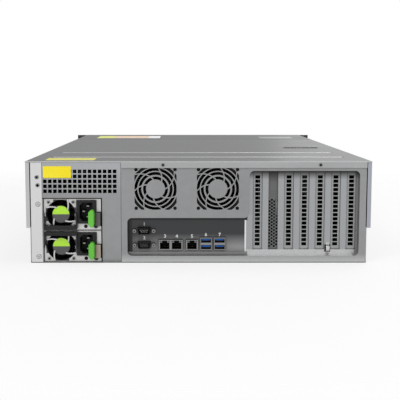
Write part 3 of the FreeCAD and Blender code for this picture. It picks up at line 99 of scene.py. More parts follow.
def ownPlace(tree):
    return addNode(tree, "ShaderNodeTexCoord").outputs["Object"]


def ownAxes(tree):
    return addNode(tree, "ShaderNodeSeparateXYZ", {"Vector": ownPlace(tree)}).outputs


def noiseAt(tree, scale, stretch=(1, 1, 1), detail=3.0, roughness=0.5):
    mapping = addNode(tree, "ShaderNodeMapping", {"Vector": ownPlace(tree), "Scale": stretch})
    values = {"Vector": mapping.outputs["Vector"], "Scale": scale, "Detail": detail, "Roughness": roughness}
    return addNode(tree, "ShaderNodeTexNoise", values).outputs["Fac"]


def rangeOf(tree, value, low, high, newLow, newHigh):
    values = {"Value": value, "From Min": low, "From Max": high, "To Min": newLow, "To Max": newHigh}
    return addNode(tree, "ShaderNodeMapRange", values).outputs["Result"]


def mathOf(tree, operation, first, second):
    return addNode(tree, "ShaderNodeMath", {0: first, 1: second}, operation=operation).outputs[0]


def vectorOf(tree, operation, *values):
    return addNode(tree, "ShaderNodeVectorMath", dict(enumerate(values)), operation=operation).outputs


def product(tree, first, *others):
    for other in others:
        first = mathOf(tree, "MULTIPLY", first, other)
    return first


# a colour that goes from the first to the second as the share rises
def blend(tree, share, first, second):
    made = addNode(tree, "ShaderNodeMix", {"Factor": share, "A": first, "B": second}, data_type="RGBA")
    return made.outputs["Result"]


# rounded normals and a mask of worn edges, from how far the rounded normal leans away
def makeEdgeGroup():
    tree, given, result = newGroup(
        "softEdges", {"Radius": 0.0004, "Wear": 0.5}, {"Mask": "Float", "Normal": "Vector"})
    bevel = addNode(tree, "ShaderNodeBevel", {"Radius": given["Radius"]}, samples=4)
    rounded = bevel.outputs["Normal"]
    flat = addNode(tree, "ShaderNodeNewGeometry").outputs["Normal"]
    along = vectorOf(tree, "DOT_PRODUCT", rounded, flat)["Value"]
    lean = rangeOf(tree, along, 0.98, 0.75, 0.0, 1.0)
    broken = rangeOf(tree, noiseAt(tree, 240.0, detail=4.0), 0.35, 0.62, 0.15, 1.0)
    mask = product(tree, lean, broken, given["Wear"])
    feed(tree, result, {"Mask": mask, "Normal": rounded})
    return tree


# grime and painted shade that gather in creases, gaps and the roots of bends, darkened by ambient occlusion
def makeCreaseGroup():
    grimeShadeColour = (0.008, 0.008, 0.009, 1)
    tree, given, result = newGroup(
        "creaseGrimeShade", {"Color": (0.5, 0.5, 0.5, 1), "Reach": 0.006, "Amount": 0.6}, {"Color": "Color"})
    near = addNode(tree, "ShaderNodeAmbientOcclusion", {"Distance": given["Reach"]}, samples=6)
    closed = rangeOf(tree, near.outputs["AO"], 0.98, 0.45, 0.0, 1.0)
    uneven = rangeOf(tree, noiseAt(tree, 90.0, detail=4.0), 0.3, 0.7, 0.8, 1.0)
    mask = product(tree, closed, uneven, given["Amount"])
    feed(tree, result, {"Color": blend(tree, mask, given["Color"], grimeShadeColour)})
    return tree


# what a sheet and a skin have in common: two colours, a range of roughness and a height
def newSurface(name, inputs):
    return newGroup(name, {**inputs, "Rough Low": 0.3, "Rough High": 0.5},
                    {"Color": "Color", "Roughness": "Float", "Height": "Float"})


def roughOf(tree, given, share):
    return rangeOf(tree, share, 0.0, 1.0, given["Rough Low"], given["Rough High"])


# rolled and plated sheet: long streaks, zinc flakes, hand smudges
def makeSheetGroup():
    tree, given, result = newSurface("rolledSheet", {
        "Base": (0.5, 0.5, 0.5, 1), "Dark": (0.3, 0.3, 0.3, 1), "Flake": 0.3, "Streak": 0.3})
    flakes = addNode(tree, "ShaderNodeTexVoronoi", {"Vector": ownPlace(tree), "Scale": 150.0})
    parts = addNode(tree, "ShaderNodeSeparateColor", {"Color": flakes.outputs["Color"]})
    streak = noiseAt(tree, 6.0, (3, 260, 260), detail=5.0, roughness=0.6)
    smudge = noiseAt(tree, 11.0, detail=5.0, roughness=0.55)
    flakeShare = product(tree, parts.outputs["Red"], given["Flake"])
    streakShare = product(tree, streak, given["Streak"])
    height = mathOf(tree, "ADD", flakeShare, streakShare)
    share = mathOf(tree, "ADD", height, rangeOf(tree, smudge, 0.38, 0.7, 0.0, 0.4))
    feed(tree, result, {"Color": blend(tree, share, given["Base"], given["Dark"]),
                        "Roughness": roughOf(tree, given, share), "Height": height})
    return tree


# moulded or painted skin: fine grain and a faint cloudiness
def makeSkinGroup():
    tree, given, result = newSurface("mouldedSkin", {
        "Base": (0.05, 0.05, 0.05, 1), "Light": (0.1, 0.1, 0.1, 1), "Grain Scale": 2200.0, "Cloud": 0.5})
    values = {"Vector": ownPlace(tree), "Scale": given["Grain Scale"], "Detail": 2.0}
    grain = addNode(tree, "ShaderNodeTexNoise", values).outputs["Fac"]
    cloud = noiseAt(tree, 38.0, detail=6.0, roughness=0.62)
    share = product(tree, rangeOf(tree, cloud, 0.35, 0.75, 0.0, 1.0), given["Cloud"])
    uneven = mathOf(tree, "ADD", product(tree, grain, 0.6), share)
    feed(tree, result, {"Color": blend(tree, share, given["Base"], given["Light"]),
                        "Roughness": roughOf(tree, given, uneven), "Height": grain})
    return tree


edgeGroup, creaseGroup = makeEdgeGroup(), makeCreaseGroup()
sheetGroup, skinGroup = makeSheetGroup(), makeSkinGroup()


# material shells
def newMaterial(name):
    material = bpy.data.materials.new(name)
    material.use_nodes = True
    tree = material.node_tree
    return material, tree, tree.nodes["Principled BSDF"]


# a colour with its alpha, made lighter or darker on the way
def rgba(colour, scale=1.0, lift=0.0):
    return (*(min(1.0, part * scale + lift) for part in colour), 1.0)


metalLook = {"bump": 0.08, "bumpDeep": 0.0002, "worn": (1.5, 0.0)}
plasticLook = {"bump": 0.15, "bumpDeep": 0.00015, "worn": (1.8, 0.02)}


# worn edges, grime and painted shade in creases, and a bump, on what a sheet or skin group gives
def finishSurface(tree, shader, body, base, wear, grime, look):
    edge = placeGroup(tree, edgeGroup, {"Wear": wear})
    worn = blend(tree, edge.outputs["Mask"], body.outputs["Color"], rgba(base, *look["worn"]))
    crease = placeGroup(tree, creaseGroup, {"Color": worn, "Reach": grime[0], "Amount": grime[1]})
    bump = addNode(tree, "ShaderNodeBump", {
        "Strength": look["bump"], "Distance": look["bumpDeep"], "Height": body.outputs["Height"],
        "Normal": edge.outputs["Normal"]})
    feed(tree, shader, {"Base Color": crease.outputs["Color"], "Roughness": body.outputs["Roughness"],
                        "Normal": bump.outputs["Normal"]})


def metalFinish(name, base, dark, rough, flake=0.2, streak=0.3, wear=0.4, grime=(0.006, 0.75), rim=1.0):
    material, tree, shader = newMaterial(name)
    feed(tree, shader, {"Metallic": 1.0, "Specular Tint": (rim, rim, rim, 1)})
    body = placeGroup(tree, sheetGroup, {
        "Base": rgba(base), "Dark": rgba(dark), "Flake": flake, "Streak": streak,
        "Rough Low": rough[0], "Rough High": rough[1]})
    finishSurface(tree, shader, body, base, wear, grime, metalLook)
    return material


def plasticFinish(name, base, light, rough, grain=2200.0, coat=0.0, wear=0.35, grime=(0.004, 0.5),
                  gloss=0.5):
    material, tree, shader = newMaterial(name)
    feed(tree, shader, {"Coat Weight": coat, "Specular IOR Level": gloss})
    body = placeGroup(tree, skinGroup, {
        "Base": rgba(base), "Light": rgba(light), "Grain Scale": grain,
        "Rough Low": rough[0], "Rough High": rough[1]})
    finishSurface(tree, shader, body, base, wear, grime, plasticLook)
    return material


# lacquered circuit board: copper runs as the joints of a fine brick pattern
def boardFinish(name, base, copper):
    material, tree, shader = newMaterial(name)
    runs = addNode(tree, "ShaderNodeTexBrick", {
        "Vector": ownPlace(tree), "Color1": rgba(base), "Color2": rgba(base, 0.8),
        "Mortar": rgba(copper), "Scale": 240.0, "Mortar Size": 0.05}, offset=0.35, squash=1.4)
    cloud = noiseAt(tree, 26.0, detail=6.0)
    share = rangeOf(tree, cloud, 0.4, 0.7, 0.0, 0.7)
    feed(tree, shader, {"Base Color": blend(tree, share, runs.outputs["Color"], rgba(base, 0.6)),
                        "Roughness": rangeOf(tree, cloud, 0.3, 0.7, 0.3, 0.5), "Coat Weight": 0.3})
    return material


# small coloured lamp lens, faintly mottled
def lensFinish(name, colour, glow):
    material, tree, shader = newMaterial(name)
    tint = blend(tree, noiseAt(tree, 900.0, detail=2.0), rgba(colour), rgba(colour, 1.5, 0.05))
    feed(tree, shader, {"Base Color": tint, "Emission Color": tint, "Emission Strength": glow,
                        "Roughness": 0.12, "Coat Weight": 0.6})
    return material


# masks over the part, in millimetres: a box, with y counted from the rear panel
def boxMask(tree, ranges):
    axes = ownAxes(tree)
    total = 1.0
    for axis, (low, high) in ranges.items():
        start = rearY if axis == "Y" else 0.0
        above = mathOf(tree, "GREATER_THAN", axes[axis], start + low * mm)
        below = mathOf(tree, "LESS_THAN", axes[axis], start + high * mm)
        total = product(tree, total, above, below)
    return total


# a round area of the rear, seen square on
def discMask(tree, x, z, radius):
    moved = vectorOf(tree, "SUBTRACT", ownPlace(tree), (x * mm, 0, z * mm))["Vector"]
    flat = vectorOf(tree, "MULTIPLY", moved, (1, 0, 1))["Vector"]
    return mathOf(tree, "LESS_THAN", vectorOf(tree, "LENGTH", flat)["Value"], radius * mm)


# zero at the first height, rising to one at the second
def slopeMask(tree, low, high):
    return rangeOf(tree, ownAxes(tree)["Z"], low * mm, high * mm, 0.0, 1.0)


# another colour laid over a finish where the mask is one, for prints and for painted light and shade;
# printed areas aren't metallic
def overlay(material, ranges, colour, printed=False):
    tree = material.node_tree
    shader = tree.nodes["Principled BSDF"]
    mask = boxMask(tree, {axis: ranges[axis] for axis in "XYZ" if axis in ranges})
    for kind, makeMask in (("disc", discMask), ("slope", slopeMask)):
        if kind in ranges:
            mask = product(tree, mask, makeMask(tree, *ranges[kind]))
    below = shader.inputs["Base Color"].links[0].from_socket
    feed(tree, shader, {"Base Color": blend(tree, mask, below, rgba(colour))})
    if printed:
        bare = mathOf(tree, "SUBTRACT", 1.0, mask)
        before = shader.inputs["Metallic"].links
        if before:
            bare = product(tree, before[0].from_socket, bare)
        feed(tree, shader, {"Metallic": bare})


# colour, its dark share, roughness from and to, and what differs from common sheet
metals = {
    "panelSheet": ((0.325, 0.328, 0.333), (0.26, 0.263, 0.268), (0.34, 0.46), {"grime": (0.004, 0.6)}),
    "baySheet": ((0.325, 0.328, 0.333), (0.265, 0.268, 0.273), (0.34, 0.46), {}),
    "bodySheet": ((0.35, 0.353, 0.36), (0.28, 0.283, 0.29), (0.34, 0.46), {"rim": 0.6}),
    "coverSheet": ((0.42, 0.423, 0.428), (0.34, 0.343, 0.348), (0.38, 0.5), {"flake": 0.12, "rim": 0.22}),
    "frontSheet": ((0.40, 0.403, 0.408), (0.32, 0.323, 0.328), (0.4, 0.52), {"flake": 0.12, "rim": 0.2}),
    "cageSheet": ((0.36, 0.363, 0.37), (0.28, 0.283, 0.29), (0.36, 0.5), {}),
    "slotSheet": ((0.37, 0.373, 0.378), (0.3, 0.303, 0.308), (0.3, 0.42), {"grime": (0.003, 1.0)}),
    "bracketSheet": ((0.16, 0.16, 0.162), (0.125, 0.125, 0.127), (0.3, 0.42), {}),
    "nickelPlate": ((0.62, 0.616, 0.605), (0.48, 0.476, 0.465), (0.22, 0.34), {"flake": 0.05}),
    "supplyPlate": ((0.62, 0.616, 0.605), (0.48, 0.476, 0.465), (0.22, 0.34), {"flake": 0.05}),
    # the socket shield's crease reach is long, for painted shade below the top of its recess
    "shieldPlate": ((0.40, 0.402, 0.406), (0.31, 0.312, 0.316), (0.34, 0.48),
                    {"flake": 0.05, "grime": (0.012, 0.8)}),
    "tinShell": ((0.30, 0.30, 0.30), (0.21, 0.21, 0.21), (0.22, 0.36), {"flake": 0.05}),
    "darkShell": ((0.025, 0.025, 0.026), (0.017, 0.017, 0.018), (0.24, 0.36), {"flake": 0.0}),
    # the upper supply's spring leaf, the same leaf darkened by painted shade
    "shadeLeaf": ((0.13, 0.12, 0.115), (0.09, 0.085, 0.08), (0.26, 0.4), {"flake": 0.0}),
    "springLeaf": ((0.40, 0.34, 0.27), (0.30, 0.25, 0.19), (0.24, 0.36), {"flake": 0.0}),
    "screwSteel": ((0.55, 0.55, 0.56), (0.36, 0.36, 0.37), (0.22, 0.4), {"wear": 0.7}),
    "screwDark": ((0.13, 0.13, 0.135), (0.07, 0.07, 0.073), (0.3, 0.45), {"wear": 0.7}),
    "brassPost": ((0.72, 0.53, 0.24), (0.52, 0.36, 0.14), (0.25, 0.4), {"flake": 0.0}),
    # gold darkened by painted shade, for contacts deep inside the sockets
    "goldContact": ((0.24, 0.165, 0.06), (0.18, 0.12, 0.04), (0.18, 0.3), {"flake": 0.0}),
    "coolerFin": ((0.68, 0.685, 0.69), (0.52, 0.525, 0.53), (0.25, 0.4), {"streak": 0.6}),
    "driveCase": ((0.42, 0.425, 0.43), (0.3, 0.305, 0.31), (0.3, 0.5), {"flake": 0.1}),
    "handleAnodised": ((0.045, 0.045, 0.05), (0.03, 0.03, 0.034), (0.3, 0.42), {"wear": 0.8}),
}
# the same for plastic, paint, paper and ink, with a lighter share in place of the dark one
printFilm = {"grain": 900.0, "wear": 0.0}
plastics = {
    "earCoat": ((0.016, 0.016, 0.018), (0.03, 0.03, 0.032), (0.38, 0.55), {"grain": 1500.0, "wear": 0.8}),
    "fanMoulding": ((0.006, 0.006, 0.007), (0.014, 0.014, 0.015), (0.5, 0.7), {"gloss": 0.12}),
    "carrierMoulding": ((0.018, 0.018, 0.02), (0.035, 0.035, 0.038), (0.42, 0.6), {}),
    "leverMoulding": ((0.07, 0.072, 0.078), (0.1, 0.102, 0.108), (0.36, 0.5), {}),
    "inletMoulding": ((0.009, 0.009, 0.01), (0.02, 0.02, 0.022), (0.4, 0.6), {"gloss": 0.3}),
    "latchMoulding": ((0.11, 0.52, 0.03), (0.17, 0.64, 0.06), (0.25, 0.4), {"coat": 0.15}),
    "gripSleeve": ((0.01, 0.01, 0.011), (0.02, 0.02, 0.022), (0.45, 0.62), {"grain": 1600.0, "gloss": 0.3}),
    "controlMoulding": ((0.018, 0.018, 0.02), (0.04, 0.04, 0.042), (0.3, 0.46), {}),
    "buttonMoulding": ((0.16, 0.165, 0.175), (0.22, 0.225, 0.235), (0.25, 0.4), {"coat": 0.3}),
    "portBlue": ((0.006, 0.10, 0.42), (0.012, 0.14, 0.55), (0.3, 0.45),
                 {"grime": (0.002, 0.1), "gloss": 0.3}),
    "portBlack": ((0.004, 0.004, 0.005), (0.01, 0.01, 0.011), (0.45, 0.6), {"gloss": 0.1}),
    "paperYellow": ((0.98, 0.80, 0.0), (1.0, 0.88, 0.06), (0.4, 0.55), printFilm),
    "labelLime": ((0.44, 0.82, 0.03), (0.55, 0.9, 0.08), (0.3, 0.42), printFilm),
    "labelGrey": ((0.075, 0.075, 0.078), (0.11, 0.11, 0.115), (0.35, 0.5), printFilm),
    "markInk": ((0.85, 0.85, 0.85), (0.95, 0.95, 0.95), (0.5, 0.65), printFilm),
}
# lamp lenses: colour and glow
lenses = {
    "lensSmoke": ((0.006, 0.006, 0.007), 0.0, {}),
    "lensGreen": ((0.1, 0.75, 0.15), 0.25, {}),
    "lensBlue": ((0.06, 0.25, 0.85), 0.25, {}),
    "lensAmber": ((0.9, 0.5, 0.06), 0.1, {}),
}
finishes = {"boardMask": boardFinish("boardMask", (0.008, 0.055, 0.028), (0.03, 0.12, 0.055))}
for makeFinish, looks in ((metalFinish, metals), (plasticFinish, plastics), (lensFinish, lenses)):
    for name, (*values, more) in looks.items():
        finishes[name] = makeFinish(name, *values, **more)

# face of each supply: two-tone hub label, guard arms, grip sleeve, screws, unlit lamp, ridged tab
supplyFace = {
    "lows": {"psu_upper": 43.55, "psu_lower": 1.65}, "face": 1.0, "fan": (-177.4, 20.0),
    "fanDisc": 19.0, "fanCross": ((9.8, 19.2), (19.6, 9.0)), "fanInk": (0.012, 0.012, 0.013),
    "hub": (10.8, 0.22),
    "arms": 4, "arm": (24.0, 1.7, 0.6), "armTurn": 34, "armPlace": (-12.2, -13.6, 0.3), "armLean": 107,
    "sleeve": (39.2, 4.8, 2.6), "sleeveX": -177.6, "sleeveDrop": 16.7, "pivot": -3.0,
    "ribs": 9, "rib": (1.4, 3.4, 0.25), "ribStep": 3.6,
    "corner": 15.8, "screw": (2.1, 0.9), "side": (-132.4, 4.2), "sideScrew": (2.7, 1.0),
    "lamp": (-145.5, 4.2), "lampSize": (2.35, 0.5), "lampSunk": 0.2,
    "ridges": 5, "ridge": (0.8, 16.0, 0.35), "ridgePlace": (-134.1, -10.2, 15.5), "ridgeStep": 1.7,
}
# sockets of the board: D-shaped inserts with pins or holes, jack posts, contacts and lamps
sockets = {
    "shield": 12.2, "deeX": -70.8, "deeZ": (40.4, 21.5), "deeInside": (14.6, 6.2, 0.9), "deeBack": 11.0,
    "deeThick": (0.5, 4.3), "pins": 5, "pin": (0.55, 3.8), "pinStep": 2.4, "pinBack": 10.5, "pinUp": 1.2,
    "holeRows": 3, "holes": 5, "hole": (0.62, 0.12, 0.4, 0.1), "holeStep": (2.1, 1.7), "holeFace": 6.7,
    "posts": 12.5, "post": (2.7, 5.6, 1.3, 2.5),
    "network": (-44.0, -28.4, -8.35), "lips": ((6.3, 24.9), (3.5, 27.5)), "lipFloor": 16.0,
    "lipInk": (0.006, 0.006, 0.007), "contacts": 8, "contact": (0.45, 5.0, 0.3), "contactStep": 1.02,
    "contactPlace": (17.0, 17.4), "contactLean": 55,
    "lamp": (2.6, 1.6, 0.12), "lampSide": 5.4, "lampPlace": (9.6, 26.4),
    "usb": (10.0, 27.8), "usbZ": (27.3, 18.7), "usbInside": (12.9, 5.3, 1.2), "usbBack": 15.4,
    "leaves": 4, "leaf": (1.0, 0.3, 0.12), "leafStep": 2.4, "leafFace": 10.9, "leafDown": 0.6,
}
# colours by place on a finish, in millimetres, mostly painted light and shade, with labels, seams and a
# hole; true where the area is printed
labelRow = (530, 604)
recessBack = (10.5, 12.5)
wingEdge = (-1, 1.3)
paintsAndPaintedLight = {
    "coverSheet": (
        ({"Y": (-2, 7), "Z": (131, 133)}, (0.5, 0.502, 0.506)),  # painted highlight along the rear bend
        ({"X": (-200, -136), "Y": (18, 53)}, (0.60, 0.56, 0.02), True),  # bare label
        ({"X": (139, 197), "Y": (242, 266), "Z": (120, 131.5)}, (0.02, 0.02, 0.02)),  # painted shade in the finger dish
        ({"Y": (457, 470), "Z": (131, 133)}, (0.52, 0.522, 0.526)),  # painted highlight on the hem at the split
    ),
    "frontSheet": (
        ({"Y": (460, 475), "Z": (131, 133)}, (0.26, 0.262, 0.265)),  # painted shadow at the split, beside the hem
        ({"X": (-189, -156), "Y": labelRow}, (0.7, 0.74, 0.12), True),  # bare labels
        ({"X": (-156, -89), "Y": labelRow}, (0.78, 0.56, 0.38), True),
        ({"X": (-89, -66), "Y": labelRow}, (0.85, 0.85, 0.85), True),
        ({"X": (129, 193), "Y": (520, 575)}, (0.62, 0.622, 0.626)),
    ),
    "bodySheet": (
        ({"X": (-300, -217.3), "Y": wingEdge}, (0.52, 0.523, 0.53)),  # painted light on the rear edges of the side wings, bright on the left, cool on the right
        ({"X": (217.3, 300), "Y": wingEdge}, (0.37, 0.385, 0.43)),
    ),
    "shieldPlate": (
        ({"slope": (14, 36)}, (0.06, 0.061, 0.063)),  # painted shade above
        # painted highlight along the right edge of the shield
        ({"X": (60.5, 64)}, (0.8, 0.8, 0.805)),
        # painted shade along the left edge of the shield
        ({"X": (-100, -86.2)}, (0.045, 0.045, 0.047)),
    ),
    "panelSheet": (
        # painted light: the lower lip of the panel lighter towards its bottom edge
        ({"slope": (12, 3)}, (0.46, 0.463, 0.466)),
        # painted light: the back of the recesses a little lighter and cooler than the panel's face
        ({"Y": recessBack}, (0.36, 0.365, 0.375)),
        # painted light along the bottom strip of the recess back
        ({"Y": recessBack, "Z": (0, 15.4)}, (0.52, 0.523, 0.528)),
        # painted shadow under the top of the socket recess
        ({"X": (-100, 64), "Y": recessBack, "Z": (53.8, 64)}, (0.04, 0.04, 0.042)),
        # painted shade on the left wall of the socket recess
        ({"X": (-100, -89.5), "Y": (2, 12.5), "Z": (8, 64)}, (0.04, 0.04, 0.042)),
        # painted shadow under the top of the slot recess
        ({"X": (64, 210), "Y": recessBack, "Z": (116.5, 126)}, (0.15, 0.147, 0.144)),
        # painted shade on the right wall of the slot recess, a flat mid grey
        ({"X": (203.5, 210), "Y": (1.2, 12.5)}, (0.29, 0.29, 0.293)),
        # painted shade below the socket shield, a flat mid grey
        ({"X": (-100, 64), "Y": (1.2, 12.5), "Z": (0, 12.8)}, (0.29, 0.29, 0.293)),
        ({"X": (164.9, 172.5), "Y": recessBack, "Z": (12.2, 22.2)}, (0.02, 0.02, 0.021)),  # loop's hole
        ({"X": (64, 200.5), "Y": (0.3, 10.5), "Z": (8.5, 9.7)}, (0.85, 0.85, 0.855)),  # painted highlight along the edge of the recess floor
        # painted shadow fading down from the top of the slot recess
        ({"X": (64, 210), "Y": (1.5, 12.5), "slope": (107.5, 117.5)}, (0.05, 0.05, 0.052)),
    ),
    # painted shadow fading down from the top of the slot recess, on the slot covers
    "slotSheet": (({"slope": (107.5, 117.5)}, (0.05, 0.05, 0.052)),),
    # painted shadow fading down from the top of the slot recess, on the card's bracket
    "bracketSheet": (({"slope": (103.5, 117.5)}, (0.03, 0.03, 0.031)),),
    "baySheet": (
        # painted light: the bay panel lighter and cooler towards its top
        ({"slope": (88, 125)}, (0.40, 0.41, 0.425)),
        ({"X": (-300, -201.2)}, (0.66, 0.662, 0.665)),  # column
        ({"X": (-201.4, -200.9)}, (0.04, 0.04, 0.042)),  # gaps
        # painted shadow round the top and right edges of the bay opening
        ({"X": (-201, -124.1), "Z": (83.8, 84.9)}, (0.02, 0.02, 0.021)),
        ({"X": (-125, -124.1), "Z": (0, 84.9)}, (0.02, 0.02, 0.021)),
    ),
}
for name, areas in paintsAndPaintedLight.items():
    for area in areas:
        overlay(finishes[name], *area)
# black disc and cross of the fan frame between the bright corners of each supply
for low in supplyFace["lows"].values():
    x, z = supplyFace["fan"][0], low + supplyFace["fan"][1]
    overlay(finishes["supplyPlate"], {"disc": (x, z, supplyFace["fanDisc"])}, supplyFace["fanInk"], True)
    for wide, tall in supplyFace["fanCross"]:
        cross = {"X": (x - wide, x + wide), "Y": (0, 2), "Z": (z - tall, z + tall)}
        overlay(finishes["supplyPlate"], cross, supplyFace["fanInk"], True)
# black moulding round the mouths of the network sockets, in front of their metal shell
for x in sockets["network"]:
    for wide, high in sockets["lips"]:
        lip = {"X": (x - wide, x + wide), "Z": (sockets["lipFloor"], high)}
        overlay(finishes["tinShell"], lip, sockets["lipInk"], True)
print("finishes made,", len(finishes))


# CAD nodes keep their shape: one finish, or several picked by where a face lies
def dress(names, *keys, pick=None):
    for name in names:
        node = nodes[name]
        node.data.materials.clear()
        for key in keys:
            node.data.materials.append(finishes[key])
        for face in node.data.polygons:
            face.material_index = pick(name, face) if pick else 0


# welded and bevelled in modifiers, which leave the CAD mesh itself as it is
def soften(names, width, segments=2):
    for name in names:
        weld = nodes[name].modifiers.new("weld", "WELD")
        weld.merge_threshold = 0.02 * mm
        bevel = nodes[name].modifiers.new("edges", "BEVEL")
        bevel.width = width * mm
        bevel.segments = segments
        bevel.limit_method = "ANGLE"
        bevel.angle_limit = math.radians(40)
        bevel.use_clamp_overlap = True


carriers = [f"drive_carrier_{index}" for index in range(1, 17)]
carrierLook = {"bezelDeep": 11.01, "leverSide": 14.2, "leverMargin": 4.2, "leverDeep": 2.9,
               "driveHalf": 50.85, "driveFloor": 0.99, "trayTop": 1.5}


def ofSupplies(*parts):
    return [f"{name}_{part}" for name in supplyFace["lows"] for part in parts]


# bezel, lever, tray, drive
def carrierFace(name, face):
    look = carrierLook
    low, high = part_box(name)
    x, y, z = face.center
    margin = look["leverMargin"] * mm
    if y > frontY - look["bezelDeep"] * mm:
        inLever = (low.x + look["leverSide"] * mm < x < high.x - margin
                   and low.z + margin < z < high.z - margin and y > frontY - look["leverDeep"] * mm)
        return 1 if inLever else 0
    inDrive = abs(x - (low.x + high.x) / 2) < look["driveHalf"] * mm and z > low.z + look["driveFloor"] * mm
    onTray = abs(face.normal.z) > 0.9 and z < low.z + look["trayTop"] * mm
    return 3 if inDrive and not onTray else 2


supplyLook = {"grip": 6.55, "tab": 6.85, "contacts": ((-148.6, 0), (-143.0, 7.0), (-143.0, -7.0)),
              "contactHalf": (2.1, 1.1), "contactDeep": 18}


# arms, grip
def bailFace(name, face):
    low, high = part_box(name)
    reach = face.center.z - low.z if name.startswith("psu_upper") else high.z - face.center.z
    return 1 if reach < supplyLook["grip"] * mm else 0


# tab, lower leaf, upper leaf darkened by painted shade
def latchFace(name, face):
    if face.center.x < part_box(name)[0].x + supplyLook["tab"] * mm:
        return 0
    return 2 if name.startswith("psu_upper") else 1


# moulding, contacts
def inletFace(name, face):
    low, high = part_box(name)
    x, y, z = face.center
    halfX, halfZ = supplyLook["contactHalf"]
    for contactX, contactZ in supplyLook["contacts"]:
        inX = abs(x - contactX * mm) < halfX * mm
        inZ = abs(z - (low.z + high.z) / 2 - contactZ * mm) < halfZ * mm
        if inX and inZ and y < low.y + supplyLook["contactDeep"] * mm:
            return 1
    return 0


portLook = {"mouth": 10.0, "deeEdge": -54, "networkEdge": 2, "tongueHalf": (6, 2), "tongueDeep": 21.7}


# metal shells, blue tongues, black insides, the D-shaped sockets
def portFace(name, face):
    look = portLook
    x, y, z = face.center
    deep = y > rearY + look["mouth"] * mm
    if x < look["deeEdge"] * mm:
        return 3
    if x < look["networkEdge"] * mm or not deep:
        return 2 if deep else 0
    halfX, halfZ = look["tongueHalf"]
    inTongue = (any(abs(x - middle * mm) < halfX * mm for middle in sockets["usb"])
                and any(abs(z - middle * mm) < halfZ * mm for middle in sockets["usbZ"]))
    return 1 if inTongue and y < rearY + look["tongueDeep"] * mm else 2


cardLook = {"bracketDeep": 13.15, "coolerTall": 9, "coolerDeep": 104}


# bracket, board, cooler
def cardFace(name, face):
    x, y = face.center[:2]
    if y < rearY + cardLook["bracketDeep"] * mm:
        return 0
    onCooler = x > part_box(name)[1].x - cardLook["coolerTall"] * mm
    return 2 if onCooler and y < rearY + cardLook["coolerDeep"] * mm else 1


dress(["chassis_base"], "bodySheet")
dress(["rear_panel"], "panelSheet")
dress(["psu_bay_panel"], "baySheet")
dress(["psu_cage", "drive_cage", "fan_wall"], "cageSheet")
dress(["rear_cover"], "coverSheet")
dress(["front_cover"], "frontSheet")
dress(["slot_covers"], "slotSheet")
dress(["io_shield"], "shieldPlate")
dress(ofSupplies("case"), "supplyPlate")
dress(ofSupplies("inlet"), "inletMoulding", "tinShell", pick=inletFace)
dress(ofSupplies("latch"), "latchMoulding", "springLeaf", "shadeLeaf", pick=latchFace)
dress(ofSupplies("bail"), "handleAnodised", "gripSleeve", pick=bailFace)
dress(ofSupplies("fan_frame", "rotor"), "fanMoulding")
dress(["rear_fan_frames", "rear_rotor_left", "rear_rotor_right"], "fanMoulding")
dress(["wall_fan_frames", "wall_rotor_1", "wall_rotor_2", "wall_rotor_3"], "fanMoulding")
dress(["ear_left", "ear_right"], "earCoat")
dress(["handle_left", "handle_right"], "handleAnodised")
dress(["control_panel"], "controlMoulding")
dress(["power_button", "reset_button"], "buttonMoulding")
dress(["motherboard", "backplane", "power_board", "memory_modules"], "boardMask")
dress(["board_standoffs"], "brassPost")
dress(["cpu_heatsinks"], "coolerFin")
dress(["raid_card"], "bracketSheet", "boardMask", "coolerFin", pick=cardFace)
dress(["io_ports"], "tinShell", "portBlue", "portBlack", "darkShell", pick=portFace)
dress(carriers, "carrierMoulding", "leverMoulding", "cageSheet", "driveCase", pick=carrierFace)
soften(carriers, 0.5)
soften(ofSupplies("latch"), 0.6, 3)
soften(ofSupplies("bail"), 0.35)
soften(ofSupplies("inlet"), 0.5, 3)
soften(["handle_left", "handle_right"], 1.2, 3)
soften(["ear_left", "ear_right", "control_panel"], 0.5)
soften(["power_button", "reset_button"], 0.35)
print("CAD nodes dressed")


# a shape is built flat at the origin, then stamped into its piece where it sits
def stamp(bm, build, matrix, *values, finish=0, **settings):
    part = bmesh.new()
    build(part, *values, **settings)
    bmesh.ops.recalc_face_normals(part, faces=part.faces[:])
    bmesh.ops.transform(part, matrix=matrix, verts=part.verts[:])
    for face in part.faces:
        face.material_index += finish
    mesh = bpy.data.meshes.new("part")
    part.to_mesh(mesh)
    part.free()
    bm.from_mesh(mesh)
    bpy.data.meshes.remove(mesh)


def finishPiece(name, bm, keys, body):
    mesh = bpy.data.meshes.new(name)
    bm.to_mesh(mesh)
    bm.free()
    piece = bpy.data.objects.new(name, mesh)
    scene.collection.objects.link(piece)
    for key in keys:
        mesh.materials.append(finishes[key])
    mesh.shade_smooth()
    mesh.set_sharp_from_angle(angle=math.radians(35))
    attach(piece, body)


def vertsOf(geom):
    return [item for item in geom if isinstance(item, bmesh.types.BMVert)]


def roundOff(bm, geom, offset, segments, affect="EDGES"):
    bmesh.ops.bevel(bm, geom=geom, offset=offset * mm, segments=segments, profile=0.5, affect=affect,
                    material=-1)


# softens the edges round every face that looks up
def rimBevel(bm, offset, segments=2):
    bm.normal_update()
    around = {edge for face in bm.faces if face.normal.z > 0.9 for edge in face.edges}
    roundOff(bm, list(around), offset, segments)


# flat plate from z = 0 up to its thickness, with rounded corners and a softened top rim
def plate(bm, wide, tall, thick, corner=0.0, rim=0.0):
    made = bmesh.ops.create_cube(bm, size=1.0)["verts"]
    bmesh.ops.scale(bm, vec=(wide * mm, tall * mm, thick * mm), verts=made)
    bmesh.ops.translate(bm, vec=(0, 0, thick * mm / 2), verts=made)
    if corner:
        upright = [edge for edge in bm.edges
                   if abs(edge.verts[0].co.z - edge.verts[1].co.z) > thick * mm / 2]
        roundOff(bm, upright, corner, 4)
    if rim:
        rimBevel(bm, rim)


